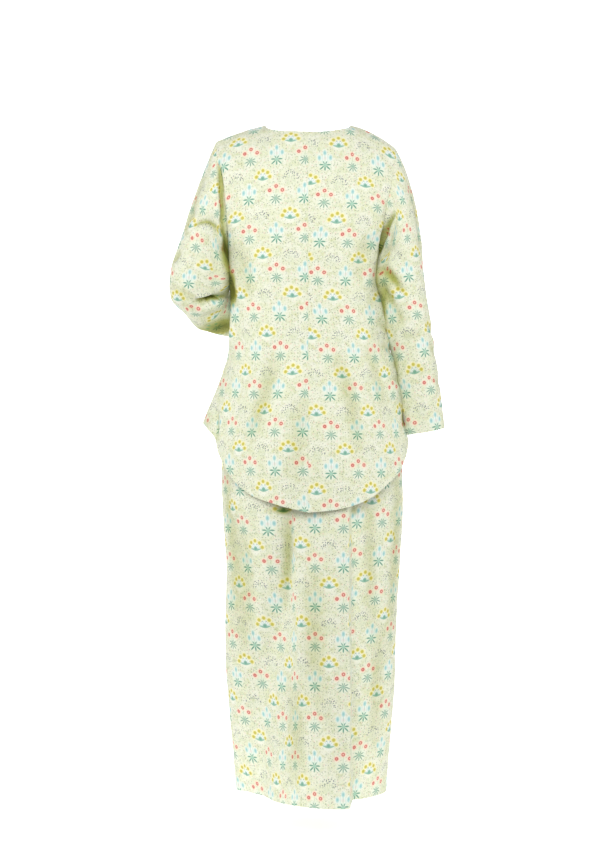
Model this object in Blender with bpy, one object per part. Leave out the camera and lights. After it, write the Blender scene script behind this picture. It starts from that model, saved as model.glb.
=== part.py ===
"""Baju kurung: a loose top with long sleeves and a shirt-tail hem, over a long skirt.

The set keeps the hollow form that it has when worn, with the left sleeve bent across
the front. +Z is up and the front faces -Y. The origin lies midway between the two points
where the shoulder seams meet the neckline.

Every panel is a smooth surface. A place across the panel is given by across, from 0 at
its centre line to 1 at its side edge, and a place down it by down, from 0 at its top edge
to 1 at its hem. Each surface gets its wall from one shared through-direction at a seam,
so that neighbouring panels meet face to face with a narrow gap between them.
"""

import bmesh
import bpy
import numpy as np

COLLECTION = "baju_kurung"

# Cloth, in metres.
WALL = 0.0020
CASING_WALL = 0.0030
SEAM_GAP = 0.0003

# Colours of the cloth and of the elastic casing, linear.
CLOTH_COLOUR = (0.74, 0.77, 0.55, 1.0)
CASING_COLOUR = (0.70, 0.73, 0.52, 1.0)
CLOTH_ROUGHNESS = 0.85

# Neckline and shoulders. The neckline is cut from a surface that runs smoothly on over it
# to the shoulder line, so its depth is a share of the way down each panel.
NECK_HALF = 0.088
NECK_DEPTH = {1: 0.058, -1: 0.165}
SHOULDER_CROWN = 0.008
SHOULDER_TIP = {1: (0.191, -0.034), -1: (0.182, -0.048)}
TOP_EDGE_REACH = 0.34
SHOULDER_DROP = 1.15

# Armhole: its height on the panels, and how far it swings to the back and to the front.
UNDERARM = -0.262
ARMHOLE_SHARE = 0.40
ARMHOLE_SWING = {1: 0.060, -1: -0.064}
ARMHOLE_TURN = 0.90
ARMHOLE_ROUND = 0.8
TIP_BLEND = 0.2

# Shirt-tail hem of the top: lowest at the centre, highest at the side seams.
HEM_LOWEST = {1: -0.794, -1: -0.735}
HEM_CORNER = {1: -0.618, -1: -0.648}

# How full a quarter of a section is: the handles of its curve at the centre and the side.
CENTRE_HANDLE = 0.60
SIDE_HANDLE = 0.52

# Sleeves: the share of their length that the cap takes, and the way the cloth leaves
# the armhole there.
CAP_SHARE = 0.42
CAP_OUT = {1: 0.43, -1: 0.50}
CAP_OUT_UNDER = 0.65
CAP_SPREAD = 0.15
CAP_DOWN = 0.92
CAP_PULL = 1.05
CAP_PROBE = 0.02

# Points round an elbow's bend, and along a whole sleeve's middle line.
BEND_STEPS = 40
ARM_STEPS = 160

# Skirt. Its folds die away within a short distance of the side seams.
SKIRT_TOP = -0.410
SKIRT_HEM = -1.383
BAND_TOP = -0.375
FOLD_EDGE = 0.0045
SEAM_CALM = 0.030
PLAN_STEPS = 240

# A fold fades where the cloth turns away from the side that it is seen from.
FACING_FROM = 0.10
FACING_OVER = 0.50

# Faces across and down each panel.
HALF_ACROSS = 12
NECK_COLUMNS = 5
ARMHOLE_ROWS = 10
SIDE_ROWS = 14
SLEEVE_CAP_ROWS = 7
SLEEVE_ROWS = 14
SKIRT_BACK_ACROSS = 42
SKIRT_FRONT_ACROSS = 22
SKIRT_ROWS = 20
BAND_ROWS = 2

# The bent sleeve is two solids that meet at its elbow, this many rows below its cap.
ELBOW_ROW = 3

# Edges between faces that meet more sharply than this are not shaded smooth.
SHARP_ANGLE = 0.9


def table(columns, *rows):
    """Rows of numbers as one array for each named column."""
    return dict(zip(columns.split(), np.array(rows, float).T))


# Half widths of the top from the shoulder tips to the hem corners.
TOP_SIDES = table(
    "z left right",
    (-0.030, 0.193, 0.186),
    (-0.085, 0.186, 0.179),
    (-0.125, 0.177, 0.172),
    (-0.165, 0.169, 0.164),
    (-0.220, 0.165, 0.154),
    (-0.268, 0.164, 0.147),
    (-0.341, 0.158, 0.139),
    (-0.430, 0.156, 0.158),
    (-0.528, 0.184, 0.180),
    (-0.600, 0.213, 0.195),
    (-0.655, 0.232, 0.211),
)

# How far the top's hem has risen from its lowest point towards the corner.
HEM_RISE = table(
    "across left right",
    (0.00, 0.000, 0.000),
    (0.20, 0.100, 0.050),
    (0.40, 0.240, 0.190),
    (0.50, 0.375, 0.305),
    (0.60, 0.620, 0.430),
    (0.68, 0.830, 0.520),
    (0.78, 0.930, 0.680),
    (0.88, 0.985, 0.850),
    (1.00, 1.000, 1.000),
)

# The top's centre lines, seen from the side.
TOP_BACK = table(
    "z y",
    (0.008, 0.000),
    (-0.003, 0.034),
    (-0.021, 0.058),
    (-0.065, 0.089),
    (-0.120, 0.113),
    (-0.190, 0.125),
    (-0.270, 0.121),
    (-0.360, 0.110),
    (-0.450, 0.110),
    (-0.550, 0.128),
    (-0.660, 0.149),
    (-0.800, 0.167),
)
TOP_FRONT = table(
    "z y",
    (0.008, 0.000),
    (-0.006, -0.024),
    (-0.040, -0.050),
    (-0.088, -0.076),
    (-0.130, -0.099),
    (-0.190, -0.121),
    (-0.250, -0.130),
    (-0.330, -0.122),
    (-0.420, -0.114),
    (-0.520, -0.126),
    (-0.640, -0.143),
    (-0.760, -0.158),
)

# Each sleeve below its cap: the line of its middle, straight but for a rounded elbow, and
# half its size outward and back.
ARM_LINES = {
    1: {
        "start": (0.2282, 0.005, -0.290),
        "elbow": (0.250, 0.012, -0.363),
        "cuff": (0.088, -0.214, -0.413),
        "bend": 0.070,
    },
    -1: {
        "start": (-0.1955, -0.004, -0.320),
        "elbow": (-0.2175, -0.008, -0.455),
        "cuff": (-0.2488, -0.016, -0.634),
        "bend": 0.400,
    },
}
SLEEVES = {
    1: table(
        "share outward back",
        (0.00, 0.0515, 0.052),
        (0.10, 0.0550, 0.050),
        (0.22, 0.0580, 0.048),
        (0.38, 0.0505, 0.045),
        (0.60, 0.0455, 0.0445),
        (1.00, 0.0390, 0.040),
    ),
    -1: table(
        "share outward back",
        (0.00, 0.0465, 0.056),
        (0.42, 0.0450, 0.052),
        (0.72, 0.0410, 0.047),
        (1.00, 0.0365, 0.040),
    ),
}

# The skirt's plain sections, before its folds.
SKIRT_SECTIONS = table(
    "z left right back front",
    (-0.375, 0.118, 0.118, 0.084, -0.086),
    (-0.410, 0.121, 0.122, 0.087, -0.089),
    (-0.500, 0.158, 0.163, 0.098, -0.102),
    (-0.560, 0.172, 0.1816, 0.1060, -0.109),
    (-0.620, 0.177, 0.189, 0.111, -0.115),
    (-0.700, 0.179, 0.195, 0.119, -0.121),
    (-0.780, 0.178, 0.197, 0.120, -0.124),
    (-0.910, 0.168, 0.191, 0.119, -0.128),
    (-1.050, 0.171, 0.183, 0.118, -0.136),
    (-1.215, 0.162, 0.175, 0.118, -0.148),
    (-1.383, 0.150, 0.162, 0.119, -0.165),
)

# Its two back folds: where each line runs, how far the cloth stands out of or sinks into
# the plain section there, and how wide it is.
STEP_FOLD = table(
    "z x height reach",
    (-0.560, -0.084, 0.000, 0.080),
    (-0.700, -0.084, 0.010, 0.085),
    (-0.800, -0.084, 0.022, 0.090),
    (-1.000, -0.085, 0.042, 0.105),
    (-1.200, -0.086, 0.064, 0.125),
    (-1.383, -0.086, 0.086, 0.137),
)
SOFT_FOLD = table(
    "z x height reach",
    (-0.560, 0.030, 0.000, 0.030),
    (-0.790, 0.033, -0.010, 0.026),
    (-0.930, 0.045, -0.014, 0.028),
    (-1.020, 0.062, -0.016, 0.030),
    (-1.130, 0.090, -0.022, 0.036),
    (-1.245, 0.107, -0.030, 0.040),
    (-1.383, 0.118, -0.036, 0.044),
)
FRONT_FOLDS = (
    table(
        "z x height reach",
        (-0.600, 0.050, 0.000, 0.030),
        (-0.900, 0.058, 0.010, 0.036),
        (-1.383, 0.070, 0.030, 0.046),
    ),
    table(
        "z x height reach",
        (-0.700, -0.040, 0.000, 0.030),
        (-1.000, -0.052, -0.010, 0.034),
        (-1.383, -0.066, -0.026, 0.044),
    ),
)

# Largest soft folds of the top, as lines seen from the back (1) or the front (-1): the ends
# of each line, half its width, and its height, which is negative for a trough.
FOLDS = {
    1: table(
        "x0 z0 x1 z1 reach height",
        (0.192, -0.590, 0.194, -0.665, 0.008, -0.006),
        (-0.060, -0.420, -0.120, -0.600, 0.030, -0.004),
        (0.060, -0.480, 0.120, -0.640, 0.030, -0.006),
        (0.178, -0.352, 0.226, -0.372, 0.008, -0.010),
        (0.184, -0.368, 0.245, -0.388, 0.010, 0.004),
        (0.182, -0.205, 0.236, -0.186, 0.011, -0.006),
        (-0.180, -0.175, -0.165, -0.235, 0.012, -0.008),
        (-0.170, -0.265, -0.205, -0.300, 0.014, -0.006),
    ),
    -1: table(
        "x0 z0 x1 z1 reach height",
        (0.060, -0.300, 0.105, -0.600, 0.026, -0.008),
        (-0.060, -0.340, -0.095, -0.640, 0.028, -0.008),
        (0.000, -0.420, 0.010, -0.700, 0.026, 0.006),
    ),
}


def follow(rows, column, at):
    """A column's value at each place along the table's first column, as a smooth curve."""
    keys, values = next(iter(rows.values())), rows[column]
    if keys[0] > keys[-1]:
        keys, values = keys[::-1], values[::-1]
    steps = np.diff(keys)
    rises = np.diff(values) / steps
    slopes = np.empty_like(values)
    slopes[1:-1] = (rises[:-1] * steps[1:] + rises[1:] * steps[:-1]) / (steps[1:] + steps[:-1])
    slopes[0], slopes[-1] = rises[0], rises[-1]
    at = np.clip(at, keys[0], keys[-1])
    part = np.clip(np.searchsorted(keys, at) - 1, 0, len(steps) - 1)
    step = steps[part]
    t = (at - keys[part]) / step
    return (
        (2 * t**3 - 3 * t**2 + 1) * values[part]
        + (t**3 - 2 * t**2 + t) * step * slopes[part]
        + (3 * t**2 - 2 * t**3) * values[part + 1]
        + (t**3 - t**2) * step * slopes[part + 1]
    )


def ease(t):
    """0 to 1 with level ends."""
    t = np.clip(t, 0.0, 1.0)
    return t * t * (3 - 2 * t)


def points(x, y, z):
    """Three coordinates, each a number or an array, as one array of points."""
    return np.stack(np.broadcast_arrays(x, y, z), -1).astype(float)


def quarter(centre, side, across):
    """A smooth quarter of a section, level at the centre line and square at the side."""
    across = np.asarray(across, float)[..., None]
    reach = (side - centre) * (CENTRE_HANDLE, 0, 0)
    turn = (centre - side) * (0, SIDE_HANDLE, 0)
    lift = (side - centre) * (0, 0, 1 / 3)
    first, second = centre + reach + lift, side + turn - lift
    rest = 1 - across
    return (
        rest**3 * centre
        + 3 * rest**2 * across * first
        + 3 * rest * across**2 * second
        + across**3 * side
    )


def armhole(side, face, share):
    """The armhole's edge, from the shoulder tip at 0 to the underarm at 1."""
    tip_x, tip_z = SHOULDER_TIP[side]
    z = tip_z + (UNDERARM - tip_z) * share
    x = side * follow(TOP_SIDES, "left" if side > 0 else "right", z)
    x = x + (side * tip_x - x) * (1 - ease(share / TIP_BLEND))
    swing = np.sin(np.pi * np.clip(share, 0, 1) ** ARMHOLE_TURN).clip(0) ** ARMHOLE_ROUND
    return points(x, ARMHOLE_SWING[face] * swing, z)


def side_seam(side, share):
    """The side seam, from the underarm at 0 to the hem's corner at 1."""
    z = UNDERARM + (HEM_CORNER[side] - UNDERARM) * share
    x = side * follow(TOP_SIDES, "left" if side > 0 else "right", z)
    return points(x, 0, z)


def shoulder_line(side, across):
    """The line of the shoulder seam, running on over the neck to the centre."""
    tip_x, tip_z = SHOULDER_TIP[side]
    power = np.log(1 - tip_z / SHOULDER_CROWN) / np.log(tip_x / NECK_HALF)
    x = tip_x * across
    return points(side * x, 0, SHOULDER_CROWN * (1 - (x / NECK_HALF) ** power))


def top_base(side, face, across, down):
    """A quarter of the top before its upper edge is fitted to the shoulder line."""
    in_armhole = (down <= ARMHOLE_SHARE)[..., None]
    upper = np.clip(down / ARMHOLE_SHARE, 0, 1)
    lower = np.clip((down - ARMHOLE_SHARE) / (1 - ARMHOLE_SHARE), 0, 1)
    edge = np.where(in_armhole, armhole(side, face, upper), side_seam(side, lower))
    rise = follow(HEM_RISE, "left" if side > 0 else "right", across)
    hem = HEM_LOWEST[face] + (HEM_CORNER[side] - HEM_LOWEST[face]) * rise
    below = UNDERARM + (hem - UNDERARM) * lower
    centre_z = SHOULDER_CROWN + (UNDERARM - SHOULDER_CROWN) * upper**SHOULDER_DROP
    centre_z = np.where(down <= ARMHOLE_SHARE, centre_z, below)
    centre = points(0, follow(TOP_BACK if face > 0 else TOP_FRONT, "y", centre_z), centre_z)
    place = quarter(centre, edge, across)
    place[..., 2] = np.where(down <= ARMHOLE_SHARE, place[..., 2], below)
    return place


def top_quarter(side, face, across, down):
    """A quarter of the top: one side, and its back where face is 1 or its front at -1."""
    across, down = np.broadcast_arrays(np.asarray(across, float), np.asarray(down, float))
    neck = np.clip(across * SHOULDER_TIP[side][0] / NECK_HALF, 0, 1)
    down = down + NECK_DEPTH[face] * np.sqrt(1 - neck**2) * (1 - down) ** 2
    place = top_base(side, face, across, down)
    fit = shoulder_line(side, across) - top_base(side, face, across, np.zeros_like(across))
    return place + fit * (1 - ease(down / TOP_EDGE_REACH))[..., None]


def arm_line(side):
    """Evenly spaced points along the middle of a sleeve, with its elbow rounded."""
    start, elbow, cuff = (np.array(ARM_LINES[side][name]) for name in ("start", "elbow", "cuff"))
    radius = ARM_LINES[side]["bend"]
    upper = (elbow - start) / np.linalg.norm(elbow - start)
    fore = (cuff - elbow) / np.linalg.norm(cuff - elbow)
    bend = np.arccos(upper @ fore)
    inward = fore - upper * (fore @ upper)
    inward /= np.linalg.norm(inward)
    middle = elbow - upper * radius * np.tan(bend / 2) + inward * radius
    turn = np.linspace(0, bend, BEND_STEPS)[:, None]
    arc = middle + radius * (np.sin(turn) * upper - np.cos(turn) * inward)
    line = np.concatenate([[start], arc, [cuff]])
    run = np.concatenate([[0], np.cumsum(np.linalg.norm(np.diff(line, axis=0), axis=1))])
    even = np.linspace(0, run[-1], ARM_STEPS)
    return np.stack([np.interp(even, run, line[:, i]) for i in range(3)], -1)


def tube_frame(side, share):
    """The middle of a sleeve, with its +X and backward directions carried along it."""
    path = arm_line(side)
    along = np.gradient(path, axis=0)
    along /= np.linalg.norm(along, axis=1)[:, None]
    back = np.empty_like(path)
    carried = np.array((0.0, 1.0, 0.0))
    for i, way in enumerate(along):
        carried = carried - way * (carried @ way)
        carried /= np.linalg.norm(carried)
        back[i] = carried
    fine = np.linspace(0, 1, len(path))
    return [
        np.stack([np.interp(share, fine, part[:, i]) for i in range(3)], -1)
        for part in (path, np.cross(along, back), back)
    ]


def sleeve_tube(side, round_it, share):
    """The sleeve below its cap. round_it runs from the outer side by the back to the inner."""
    rows = SLEEVES[side]
    middle, across, back = tube_frame(side, share)
    turn = 2 * np.pi * round_it
    outward = side * np.cos(turn) * follow(rows, "outward", share)
    backward = np.sin(turn) * follow(rows, "back", share)
    return middle + outward[..., None] * across + backward[..., None] * back


def sleeve(side, round_it, down):
    """A sleeve, from its armhole at down 0 to its cuff at 1."""
    round_it, down = np.broadcast_arrays(np.asarray(round_it, float), np.asarray(down, float))
    on_back = round_it <= 0.5
    share = np.where(on_back, 2 * round_it, 2 * (1 - round_it))
    start = np.where(on_back[..., None], armhole(side, 1, share), armhole(side, -1, share))
    end = sleeve_tube(side, round_it, np.zeros_like(down))
    leave = sleeve_tube(side, round_it, np.full_like(down, CAP_PROBE)) - end
    span = np.linalg.norm(end - start, axis=-1)[..., None]
    leave = leave * CAP_PULL * span / np.linalg.norm(leave, axis=-1)[..., None]
    turn = 2 * np.pi * round_it
    out = CAP_OUT[side] + (CAP_OUT_UNDER - CAP_OUT[side]) * (1 - np.cos(turn)) / 2
    way = points(side * out, CAP_SPREAD * np.sin(turn), -CAP_DOWN)
    way = way * CAP_PULL * span
    t = np.clip(down / CAP_SHARE, 0, 1)[..., None]
    cap = (
        (2 * t**3 - 3 * t**2 + 1) * start
        + (t**3 - 2 * t**2 + t) * way
        + (3 * t**2 - 2 * t**3) * end
        + (t**3 - t**2) * leave
    )
    below = np.clip((down - CAP_SHARE) / (1 - CAP_SHARE), 0, 1)
    tube = sleeve_tube(side, round_it, below)
    return np.where((down <= CAP_SHARE)[..., None], cap, tube)


def skirt_plan(face, z, fold_tables):
    """One level of the skirt's back or front, from the left seam to the right."""
    across = np.linspace(1, 0, PLAN_STEPS)
    depth = follow(SKIRT_SECTIONS, "back" if face > 0 else "front", z)
    halves = []
    for side, name in ((1, "left"), (-1, "right")):
        edge = points(side * follow(SKIRT_SECTIONS, name, z), 0, z)
        halves.append(quarter(points(0, depth, z), edge, across))
    line = np.concatenate([halves[0], halves[1][::-1][1:]])
    out = np.gradient(line[:, :2], axis=0)[:, ::-1] * (face, -face)
    out /= np.linalg.norm(out, axis=1)[:, None]
    for fold, stepped in fold_tables:
        past = line[:, 0] - follow(fold, "x", z)
        lift = follow(fold, "height", z) * np.exp(-((past / follow(fold, "reach", z)) ** 2))
        lift = lift * ease(np.abs(line[:, 1]) / SEAM_CALM)
        if stepped:
            line[:, 1] += face * lift * ease(past / (2 * FOLD_EDGE) + 0.5)
        else:
            line[:, :2] += out * lift[:, None]
    return line


def skirt(face, across, down, top=SKIRT_TOP, bottom=SKIRT_HEM):
    """The skirt's back or front. across runs from the left seam at 0 to the right at 1."""
    fold_tables = [(STEP_FOLD, True), (SOFT_FOLD, False)] if face > 0 else []
    if face < 0:
        fold_tables = [(fold, False) for fold in FRONT_FOLDS]
    levels = np.unique(down)
    place = np.empty(across.shape + (3,))
    for level in levels:
        line = skirt_plan(face, top + (bottom - top) * level, fold_tables)
        run = np.concatenate([[0], np.cumsum(np.linalg.norm(np.diff(line, axis=0), axis=1))])
        here = down == level
        for axis in range(3):
            place[here, axis] = np.interp(across[here] * run[-1], run, line[:, axis])
    return place


def cell_corners(grid):
    """The four corners of each cell of a grid of points, in order round it."""
    return grid[:-1, :-1], grid[1:, :-1], grid[1:, 1:], grid[:-1, 1:]


def cell_normals(grid):
    """The direction out through each cell, at each corner times the corner's angle."""
    corners = cell_corners(grid)
    through = np.cross(corners[2] - corners[0], corners[1] - corners[3])
    through /= np.linalg.norm(through, axis=-1)[..., None]
    weighted = []
    for k, corner in enumerate(corners):
        before, after = corners[k - 1] - corner, corners[(k + 1) % 4] - corner
        lengths = np.linalg.norm(before, axis=-1) * np.linalg.norm(after, axis=-1)
        angle = np.arccos(np.clip(np.sum(before * after, axis=-1) / lengths, -1, 1))
        weighted.append(through * angle[..., None])
    return weighted


def spot(point):
    """A point's place to the nearest hundredth of a millimetre."""
    return tuple(np.round(point * 1e5).astype(int))


def shared_normals(grids):
    """Directions through the cloth, the same for all panels that meet at a point."""
    sums = {}
    for grid in grids:
        for corner, normal in zip(cell_corners(grid), cell_normals(grid)):
            for point, way in zip(corner.reshape(-1, 3), normal.reshape(-1, 3)):
                sums[spot(point)] = sums.get(spot(point), 0) + way
    found = []
    for grid in grids:
        through = np.array([[sums[spot(point)] for point in line] for line in grid])
        found.append(through / np.linalg.norm(through, axis=-1)[..., None])
    return found


def folded(grid, through):
    """The grid moved along its through-directions by the folds of both faces."""
    moved = grid
    for face, folds in FOLDS.items():
        facing = ease((through[..., 1] * face + FACING_FROM) / FACING_OVER)
        for x0, z0, x1, z1, reach, height in zip(*folds.values()):
            way = np.array((x1 - x0, z1 - z0))
            away = grid[..., [0, 2]] - (x0, z0)
            along = np.clip(away @ way / (way @ way), 0, 1)
            off = np.linalg.norm(away - along[..., None] * way, axis=-1)
            moved = moved + through * (height * facing * np.exp(-((off / reach) ** 2)))[..., None]
    return moved


def trimmed(grid, through, edges):
    """The grid with the named edges drawn in by half a seam's gap."""
    grid = grid.copy()
    for edge in edges:
        place = {
            "top": (slice(0, 1), slice(1, 2)),
            "bottom": (slice(-1, None), slice(-2, -1)),
            "first": (np.s_[:, 0], np.s_[:, 1]),
            "last": (np.s_[:, -1], np.s_[:, -2]),
        }[edge]
        parts = grid[place[0]], grid[place[1]], through[place[0]]
        line, inner, normal = (part.reshape(-1, 3) for part in parts)
        along = np.gradient(line, axis=0)
        along /= np.linalg.norm(along, axis=1)[:, None]
        inward = inner - line
        for way in (normal, along):
            inward = inward - way * np.sum(inward * way, axis=1)[:, None]
        inward /= np.linalg.norm(inward, axis=1)[:, None]
        grid[place[0]] += (inward * SEAM_GAP / 2).reshape(grid[place[0]].shape)
    return grid


def rims(skin, closed):
    """The loops of points round the open edges of one skin of a wall."""
    if closed:
        return [skin[0] + skin[0][:1], skin[-1] + skin[-1][:1]]
    right = [line[-1] for line in skin[1:-1]]
    left = [line[0] for line in skin[::-1]]
    return [skin[0] + right + skin[-1][::-1] + left[1:]]


def wall(name, grid, through, thickness, closed, material, collection):
    """A closed solid with half its thickness to each side of a grid of points."""
    if closed:
        grid, through = grid[:, :-1], through[:, :-1]
    form = bmesh.new()
    skins = [
        [[form.verts.new(point) for point in line] for line in grid + offset * through]
        for offset in (thickness / 2, -thickness / 2)
    ]
    columns = grid.shape[1]
    for skin in skins:
        for upper, lower in zip(skin, skin[1:]):
            for here in range(columns if closed else columns - 1):
                after = (here + 1) % columns
                form.faces.new((upper[here], lower[here], lower[after], upper[after]))
    for outer, inner in zip(rims(skins[0], closed), rims(skins[1], closed)):
        for k in range(len(outer) - 1):
            form.faces.new((outer[k], outer[k + 1], inner[k + 1], inner[k]))
    bmesh.ops.triangulate(form, faces=form.faces[:])
    bmesh.ops.recalc_face_normals(form, faces=form.faces[:])
    mesh = bpy.data.meshes.new(name)
    form.to_mesh(mesh)
    form.free()
    mesh.shade_smooth()
    mesh.set_sharp_from_angle(angle=SHARP_ANGLE)
    mesh.materials.append(material)
    collection.objects.link(bpy.data.objects.new(name, mesh))


def cloth(name, colour):
    """A matt cloth material."""
    material = bpy.data.materials.new(name)
    material.use_nodes = True
    surface = material.node_tree.nodes["Principled BSDF"]
    surface.inputs["Base Color"].default_value = colour
    surface.inputs["Roughness"].default_value = CLOTH_ROUGHNESS
    surface.inputs["Metallic"].default_value = 0.0
    return material


def half_columns(side):
    """Places across half of the top, with one at the end of the neckline."""
    neck = NECK_HALF / SHOULDER_TIP[side][0]
    steps = np.sin(np.linspace(0, np.pi / 2, NECK_COLUMNS + 1))
    return np.concatenate([neck * steps, np.linspace(neck, 1, HALF_ACROSS - NECK_COLUMNS + 1)[1:]])


def top_grids():
    """The top's panels as grids of points, columns running so that they face outward."""
    down = np.concatenate(
        [
            np.linspace(0, ARMHOLE_SHARE, ARMHOLE_ROWS + 1),
            np.linspace(ARMHOLE_SHARE, 1, SIDE_ROWS + 1)[1:],
        ]
    )
    quarters = {
        (side, face): top_quarter(side, face, *np.meshgrid(half_columns(side), down))
        for side in (1, -1)
        for face in (1, -1)
    }
    front = np.concatenate([quarters[1, -1][:, ::-1], quarters[-1, -1][:, 1:]], axis=1)
    round_it = np.linspace(0, 1, 2 * ARMHOLE_ROWS + 1)
    below = np.concatenate(
        [
            np.linspace(0, CAP_SHARE, SLEEVE_CAP_ROWS + 1),
            np.linspace(CAP_SHARE, 1, SLEEVE_ROWS + 1)[1:],
        ]
    )
    sleeves = {side: sleeve(side, *np.meshgrid(round_it, below)) for side in (1, -1)}
    elbow = SLEEVE_CAP_ROWS + ELBOW_ROW
    return {
        "back_left": quarters[1, 1],
        "back_right": quarters[-1, 1][:, ::-1],
        "front": front,
        "sleeve_left_upper": sleeves[1][: elbow + 1, ::-1],
        "sleeve_left_lower": sleeves[1][elbow:, ::-1],
        "sleeve_right": sleeves[-1],
    }


def skirt_grids():
    """The skirt's back and front, and the casing round its waist."""
    down = np.linspace(0, 1, SKIRT_ROWS + 1)
    back = skirt(1, *np.meshgrid(np.linspace(0, 1, SKIRT_BACK_ACROSS + 1), down))
    front = skirt(-1, *np.meshgrid(np.linspace(0, 1, SKIRT_FRONT_ACROSS + 1), down))
    band_down = np.linspace(0, 1, BAND_ROWS + 1)
    band_back, band_front = (
        skirt(face, *np.meshgrid(np.linspace(0, 1, count + 1), band_down), BAND_TOP, SKIRT_TOP)
        for face, count in ((1, SKIRT_BACK_ACROSS), (-1, SKIRT_FRONT_ACROSS))
    )
    return {
        "skirt_back": back[:, ::-1],
        "skirt_front": front,
        "waistband": np.concatenate([band_front, band_back[:, ::-1][:, 1:]], axis=1),
    }


# The edges of each piece that are sewn to another one.
SEWN = {
    "back_left": ("first", "last", "top"),
    "back_right": ("first", "last", "top"),
    "front": ("first", "last", "top"),
    "sleeve_left_upper": ("top", "bottom"),
    "sleeve_left_lower": ("top",),
    "sleeve_right": ("top",),
    "skirt_back": ("first", "last", "top"),
    "skirt_front": ("first", "last", "top"),
    "waistband": ("bottom",),
}
TUBES = ("sleeve_left_upper", "sleeve_left_lower", "sleeve_right", "waistband")


def main():
    for piece in list(bpy.data.objects):
        bpy.data.objects.remove(piece, do_unlink=True)
    collection = bpy.data.collections.new(COLLECTION)
    bpy.context.scene.collection.children.link(collection)
    for grids in (top_grids(), skirt_grids()):
        names = list(grids)
        plain = list(grids.values())
        shaped = [folded(*pair) for pair in zip(plain, shared_normals(plain))]
        for name, grid, through in zip(names, shaped, shared_normals(shaped)):
            casing = name == "waistband"
            material = cloth(name + "_cloth", CASING_COLOUR if casing else CLOTH_COLOUR)
            wall(
                name,
                trimmed(grid, through, SEWN[name]),
                through,
                CASING_WALL if casing else WALL,
                name in TUBES,
                material,
                collection,
            )


main()
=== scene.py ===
# Baju kurung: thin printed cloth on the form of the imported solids, with its creases, hems,
# seams and stitching. Every length is in metres unless its name says otherwise. The front
# faces -Y and the wearer's left is +X. A side is 1 for the left and -1 for the right, and a
# face is 1 for the back and -1 for the front.

import math

import bpy
import numpy as np
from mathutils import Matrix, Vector


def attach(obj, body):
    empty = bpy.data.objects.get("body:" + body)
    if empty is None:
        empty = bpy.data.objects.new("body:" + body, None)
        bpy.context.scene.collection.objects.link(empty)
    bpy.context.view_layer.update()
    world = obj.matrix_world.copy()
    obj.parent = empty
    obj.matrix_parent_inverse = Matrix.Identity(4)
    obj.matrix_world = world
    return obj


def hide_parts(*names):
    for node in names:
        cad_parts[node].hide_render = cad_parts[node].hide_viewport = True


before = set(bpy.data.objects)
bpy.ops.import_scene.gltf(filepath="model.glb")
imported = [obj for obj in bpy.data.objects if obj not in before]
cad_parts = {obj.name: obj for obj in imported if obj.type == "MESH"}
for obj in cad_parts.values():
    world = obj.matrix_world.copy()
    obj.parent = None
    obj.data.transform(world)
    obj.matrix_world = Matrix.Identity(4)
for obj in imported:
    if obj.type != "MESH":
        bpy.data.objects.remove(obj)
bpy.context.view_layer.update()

# The form of the worn set, as in the solids.

SIDE_NAMES = {1: "left", -1: "right"}

NECK_HALF = 0.088
NECK_DEPTH = {1: 0.058, -1: 0.165}
SHOULDER_CROWN = 0.008
SHOULDER_TIP = {1: (0.191, -0.034), -1: (0.182, -0.048)}
TOP_EDGE_REACH = 0.34
SHOULDER_DROP = 1.15

UNDERARM = -0.262
ARMHOLE_SHARE = 0.4
ARMHOLE_SWING = {1: 0.06, -1: -0.064}
ARMHOLE_TURN = 0.9
ARMHOLE_ROUND = 0.8
TIP_BLEND = 0.2

HEM_LOWEST = {1: -0.794, -1: -0.735}
HEM_CORNER = {1: -0.618, -1: -0.648}

CENTRE_HANDLE = 0.6
SIDE_HANDLE = 0.52

CAP_SHARE = 0.42
CAP_OUT = {1: 0.43, -1: 0.5}
CAP_OUT_UNDER = 0.65
CAP_SPREAD = 0.15
CAP_DOWN = 0.92
CAP_PULL = 1.05
CAP_PROBE = 0.02
BEND_STEPS = 40
ARM_STEPS = 160

SKIRT_TOP = -0.41
SKIRT_HEM = -1.383
BAND_TOP = -0.375
FOLD_EDGE = 0.0045
SEAM_CALM = 0.03
PLAN_STEPS = 480

FACING_FROM = 0.1
FACING_OVER = 0.5


def table(columns, *rows):
    """Rows of numbers as one array for each named column."""
    return dict(zip(columns.split(), np.array(rows, float).T))


TOP_SIDES = table(
    "z left right",
    (-0.03, 0.193, 0.186),
    (-0.085, 0.186, 0.179),
    (-0.125, 0.177, 0.172),
    (-0.165, 0.169, 0.164),
    (-0.22, 0.165, 0.154),
    (-0.268, 0.164, 0.147),
    (-0.341, 0.158, 0.139),
    (-0.43, 0.156, 0.158),
    (-0.528, 0.184, 0.18),
    (-0.6, 0.213, 0.195),
    (-0.655, 0.232, 0.211),
)
HEM_RISE = table(
    "across left right",
    (0.0, 0.0, 0.0),
    (0.2, 0.1, 0.05),
    (0.4, 0.24, 0.19),
    (0.5, 0.375, 0.305),
    (0.6, 0.62, 0.43),
    (0.68, 0.83, 0.52),
    (0.78, 0.93, 0.68),
    (0.88, 0.985, 0.85),
    (1.0, 1.0, 1.0),
)
TOP_BACK = table(
    "z y",
    (0.008, 0.0),
    (-0.003, 0.034),
    (-0.021, 0.058),
    (-0.065, 0.089),
    (-0.12, 0.113),
    (-0.19, 0.125),
    (-0.27, 0.121),
    (-0.36, 0.11),
    (-0.45, 0.11),
    (-0.55, 0.128),
    (-0.66, 0.149),
    (-0.8, 0.167),
)
TOP_FRONT = table(
    "z y",
    (0.008, 0.0),
    (-0.006, -0.024),
    (-0.04, -0.05),
    (-0.088, -0.076),
    (-0.13, -0.099),
    (-0.19, -0.121),
    (-0.25, -0.13),
    (-0.33, -0.122),
    (-0.42, -0.114),
    (-0.52, -0.126),
    (-0.64, -0.143),
    (-0.76, -0.158),
)
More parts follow.
